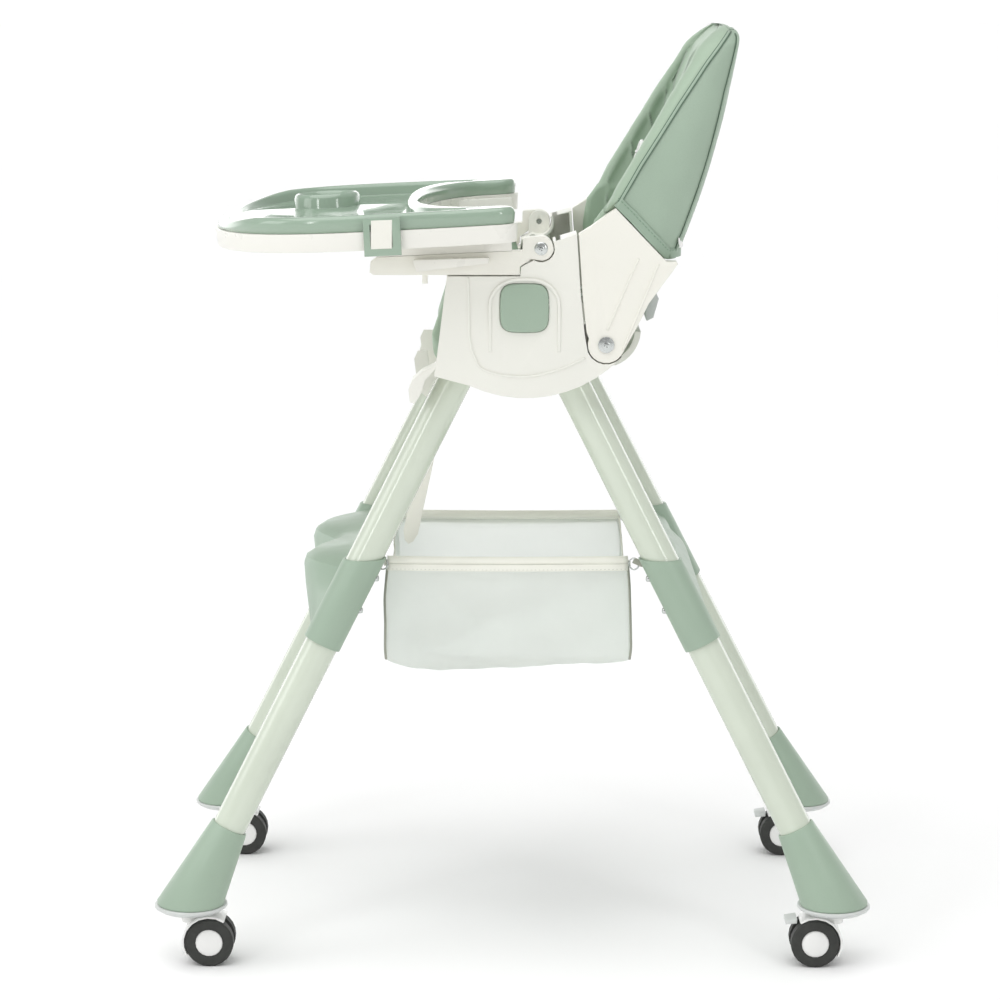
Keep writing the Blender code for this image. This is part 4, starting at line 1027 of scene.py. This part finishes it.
def screw_head(name, centre, side, radius, body):
    """A pan head with a flat washer behind it; its cross recess is painted shade, dark strips laid on the
    head.
    """
    bm = bmesh.new()
    profile = [(0.0, 0.0022), (radius * 0.45, 0.0020), (radius * 0.80, 0.0013), (radius, 0.0004),
               (radius, -0.0006), (radius * 1.5, -0.0006), (radius * 1.55, -0.0010), (radius * 1.55, -0.0016)]
    steps = 28
    apex = bm.verts.new((profile[0][1], 0, 0))
    rings = []
    for r, h in profile[1:]:
        rings.append([bm.verts.new((h, r * math.cos(a), r * math.sin(a))) for a in turns(steps)])
    for k in range(steps):
        bm.faces.new((apex, rings[0][k], rings[0][(k + 1) % steps]))
        for a, b in zip(rings, rings[1:]):
            bm.faces.new((a[k], b[k], b[(k + 1) % steps], a[(k + 1) % steps]))
    bm.faces.new(list(reversed(rings[-1])))
    bm.transform(Matrix.Translation(centre) @ Matrix.Diagonal((side, 1, 1, 1)))
    head = bmesh_object(name, bm, "steel")
    slots = []
    for turn in (20, 110):
        a = math.radians(turn)
        axis = Vector((0, math.cos(a), math.sin(a))) * radius * 0.52
        middle = centre + Vector((side * 0.0016, 0, 0))
        path = [(middle + axis * t, (side, 0, 0)) for t in (-1, -0.33, 0.33, 1)]
        # painted shade: a dark strip stands for the shadow inside each arm of the cross recess
        slots.append(strip(f"{name}_slot_{turn}", path, 0.0010, 0.0005, "dark_recess"))
    fasten([head, join(f"{name}_recess", slots, "dark_recess")], body)


def clip_window(label, side):
    """The pale inlay in the liner's clip."""
    outline = [(-0.1292, 0.8160), (-0.1288, 0.8470), (-0.1516, 0.8461), (-0.1520, 0.8151)]
    y0, z0 = -0.1404, 0.8311
    rings = []
    for x, scale in ((0.2772, 1.0), (0.2800, 1.0), (0.2806, 0.95)):
        rings.append([Vector((side * x, y0 + (y - y0) * scale, z0 + (z - z0) * scale)) for y, z in outline])
    plate = outward(mesh_object(f"clip_window_{label}", *loft(rings), "cheek_plastic", flat=True))
    fasten([plate], "liner")


def sleeve_bolt(name, at, inward):
    """A round-headed bolt that looks out of a leg sleeve towards the basket."""
    rings = []
    for r, h in ((0.0036, -0.0030), (0.0036, 0.0010), (0.0030, 0.0026), (0.0012, 0.0032)):
        base = at + inward * (SLEEVE_RADIUS * 1.12 + h)
        rings.append([base + Vector((r * math.cos(a), 0, r * math.sin(a))) for a in turns(16)])
    fasten([outward(mesh_object(name, *loft(rings), "steel"))], "chair")


def build_fittings():
    for label, side in SIDES.items():
        clip_window(label, side)
        for kind, body, radius in (("arm_screw", "arms", 0.0048), ("recline_screw", "chair", 0.0056)):
            low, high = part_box(f"{kind}_{label}")
            centre = (low + high) / 2
            centre.x = (high.x if side > 0 else low.x) - side * 0.0016
            screw_head(f"{kind}_{label}_head", centre, side, radius, body)
        for end_label, end in ENDS.items():
            for z in (0.4370, 0.4010):
                sleeve_bolt(f"sleeve_bolt_{end_label}_{label}_{int(z * 1000)}",
                            leg_point(label, end_label, z), Vector((0, -end, 0)))


# ---------------------------------------------------------------- kept CAD nodes
LOOKS = {
    "side_housing": "cream_plastic", "side_button": "sage_plastic", "seat_pan": "cream_plastic",
    "backrest_shell": "cheek_plastic", "recline_handle": "grey_plastic", "tray_base": "white_plastic",
    "tray_insert": "sage_gloss", "tray_trigger": "white_plastic", "tray_arm": "cheek_plastic",
    "footrest": "cheek_plastic", "leg_upper": "leg_enamel", "leg_lower": "leg_enamel",
    "cross_panel": "sage_plastic", "foot_cone": "sage_plastic", "foot_rim": "rim_grey",
    "caster_hood": "hood_white", "wheel_pair": "hood_white", "tyre": "tyre_rubber",
    "brake_lever": "rim_grey", "arm_screw": "steel", "recline_screw": "steel", "basket_rod": "rod_enamel",
    "harness_buckle": "grey_plastic",
}

# edge radii of the moulded parts
ROUNDED = {"tray_insert": 0.0034, "tray_base": 0.0022, "tray_arm": 0.0014, "tray_trigger": 0.0008,
           "side_housing": 0.0010, "backrest_shell": 0.0010, "side_button": 0.0010, "footrest": 0.0016,
           "cross_panel": 0.0018, "seat_pan": 0.0012, "foot_rim": 0.0008, "foot_cone": 0.0008,
           "caster_hood": 0.0008, "recline_handle": 0.0014, "harness_buckle": 0.0010, "brake_lever": 0.0008}


def by_prefix(table, name):
    return next((value for prefix, value in table.items() if name.startswith(prefix)), None)


def dress_nodes():
    """Give each kept CAD node its material, rounded edges and smooth shading between its sharp edges."""
    for name, node in NODES.items():
        look, radius = by_prefix(LOOKS, name), by_prefix(ROUNDED, name)
        if look is None:
            continue
        node.data.materials.clear()
        node.data.materials.append(MATERIALS[look])
        node.data.polygons.foreach_set("material_index", [0] * len(node.data.polygons))
        shade_smooth(node.data)
        weld = node.modifiers.new("weld", "WELD")
        weld.merge_threshold = 0.00001
        if radius:
            bevel = node.modifiers.new("round", "BEVEL")
            bevel.width, bevel.segments, bevel.limit_method = radius, 3, "ANGLE"
            bevel.angle_limit = math.radians(40)
        split = node.modifiers.new("split", "EDGE_SPLIT")
        split.split_angle = math.radians(35)


# ---------------------------------------------------------------- studio
def area_light(name, at, target, size, power):
    data = bpy.data.lights.new(name, "AREA")
    data.shape, data.size, data.size_y = "RECTANGLE", *size
    data.energy = power
    obj = linked(name, data)
    obj.location = at
    obj.rotation_euler = (Vector(target) - Vector(at)).to_track_quat("-Z", "Y").to_euler()


def sky(scene):
    """A soft white world, bright only behind the chair near the horizon."""
    scene.world = world = bpy.data.worlds.new("studio")
    world.use_nodes = True
    tree = world.node_tree
    ray = tree.nodes.new("ShaderNodeTexCoord").outputs["Generated"]
    axes = tree.nodes.new("ShaderNodeSeparateXYZ")
    tree.links.new(ray, axes.inputs[0])

    def ramp(socket, start, stop, low, high):
        node = tree.nodes.new("ShaderNodeMapRange")
        node.interpolation_type = "SMOOTHSTEP"
        tree.links.new(socket, node.inputs["Value"])
        for key, value in zip(("From Min", "From Max", "To Min", "To Max"), (start, stop, low, high)):
            node.inputs[key].default_value = value
        return node.outputs["Result"]

    behind = ramp(axes.outputs["X"], -0.9, -0.2, 1.0, 0.0)
    grazing = ramp(axes.outputs["Z"], 0.10, 0.45, 1.0, 0.0)
    product = tree.nodes.new("ShaderNodeMath")
    product.operation = "MULTIPLY"
    tree.links.new(behind, product.inputs[0])
    tree.links.new(grazing, product.inputs[1])
    background = tree.nodes["Background"]
    tree.links.new(ramp(product.outputs[0], 0.0, 1.0, 0.46, 1.9), background.inputs["Strength"])
    background.inputs["Color"].default_value = (1.0, 1.0, 1.0, 1.0)


def paper_floor():
    bm = bmesh.new()
    bmesh.ops.create_grid(bm, x_segments=8, y_segments=8, size=90)
    mesh = bpy.data.meshes.new("floor")
    bm.to_mesh(mesh)
    bm.free()
    floor = linked("floor", mesh)
    f = Finish("floor_paper", Specular_IOR_Level=0.2)
    f.colour(f.mix(f.ranged(f.noise(3, 3), 0, 1), (0.955, 0.955, 0.955, 1), (0.965, 0.965, 0.965, 1)))
    f.roughness(0.6, 0.03)
    mesh.materials.append(f.material)


def studio():
    scene = bpy.context.scene
    scene.view_settings.view_transform = "Standard"
    sky(scene)
    sun = bpy.data.lights.new("overhead", "SUN")
    sun.energy, sun.angle = 1.80, math.radians(70)
    linked("overhead", sun).rotation_euler = (math.radians(8), math.radians(10), 0)
    area_light("front_fill", (0.9, -3.2, 1.9), (0.0, 0.0, 0.75), (1.6, 1.6), 15)
    for name, side in (("strip_front", -1), ("strip_rear", 1)):
        area_light(name, (2.33, side * 1.70, 1.62), (0.15, side * 0.20, 0.45), (0.34, 1.15), 7.5)
    paper_floor()

    camera = bpy.data.cameras.new("camera")
    camera.lens, camera.sensor_width, camera.clip_end = LENS, 36.0, 400
    scene.camera = linked("camera", camera)
    scene.camera.location = CAMERA_AT
    flat = math.cos(CAMERA_DOWN)
    ahead = Vector((-math.cos(CAMERA_TURN) * flat, -math.sin(CAMERA_TURN) * flat, -math.sin(CAMERA_DOWN)))
    scene.camera.rotation_euler = ahead.to_track_quat("-Z", "Y").to_euler()


studio()
dress_nodes()
build_cover()
seat_cushion()
build_basket()
harness()
shell_relief()
build_fittings()
bpy.context.view_layer.update()
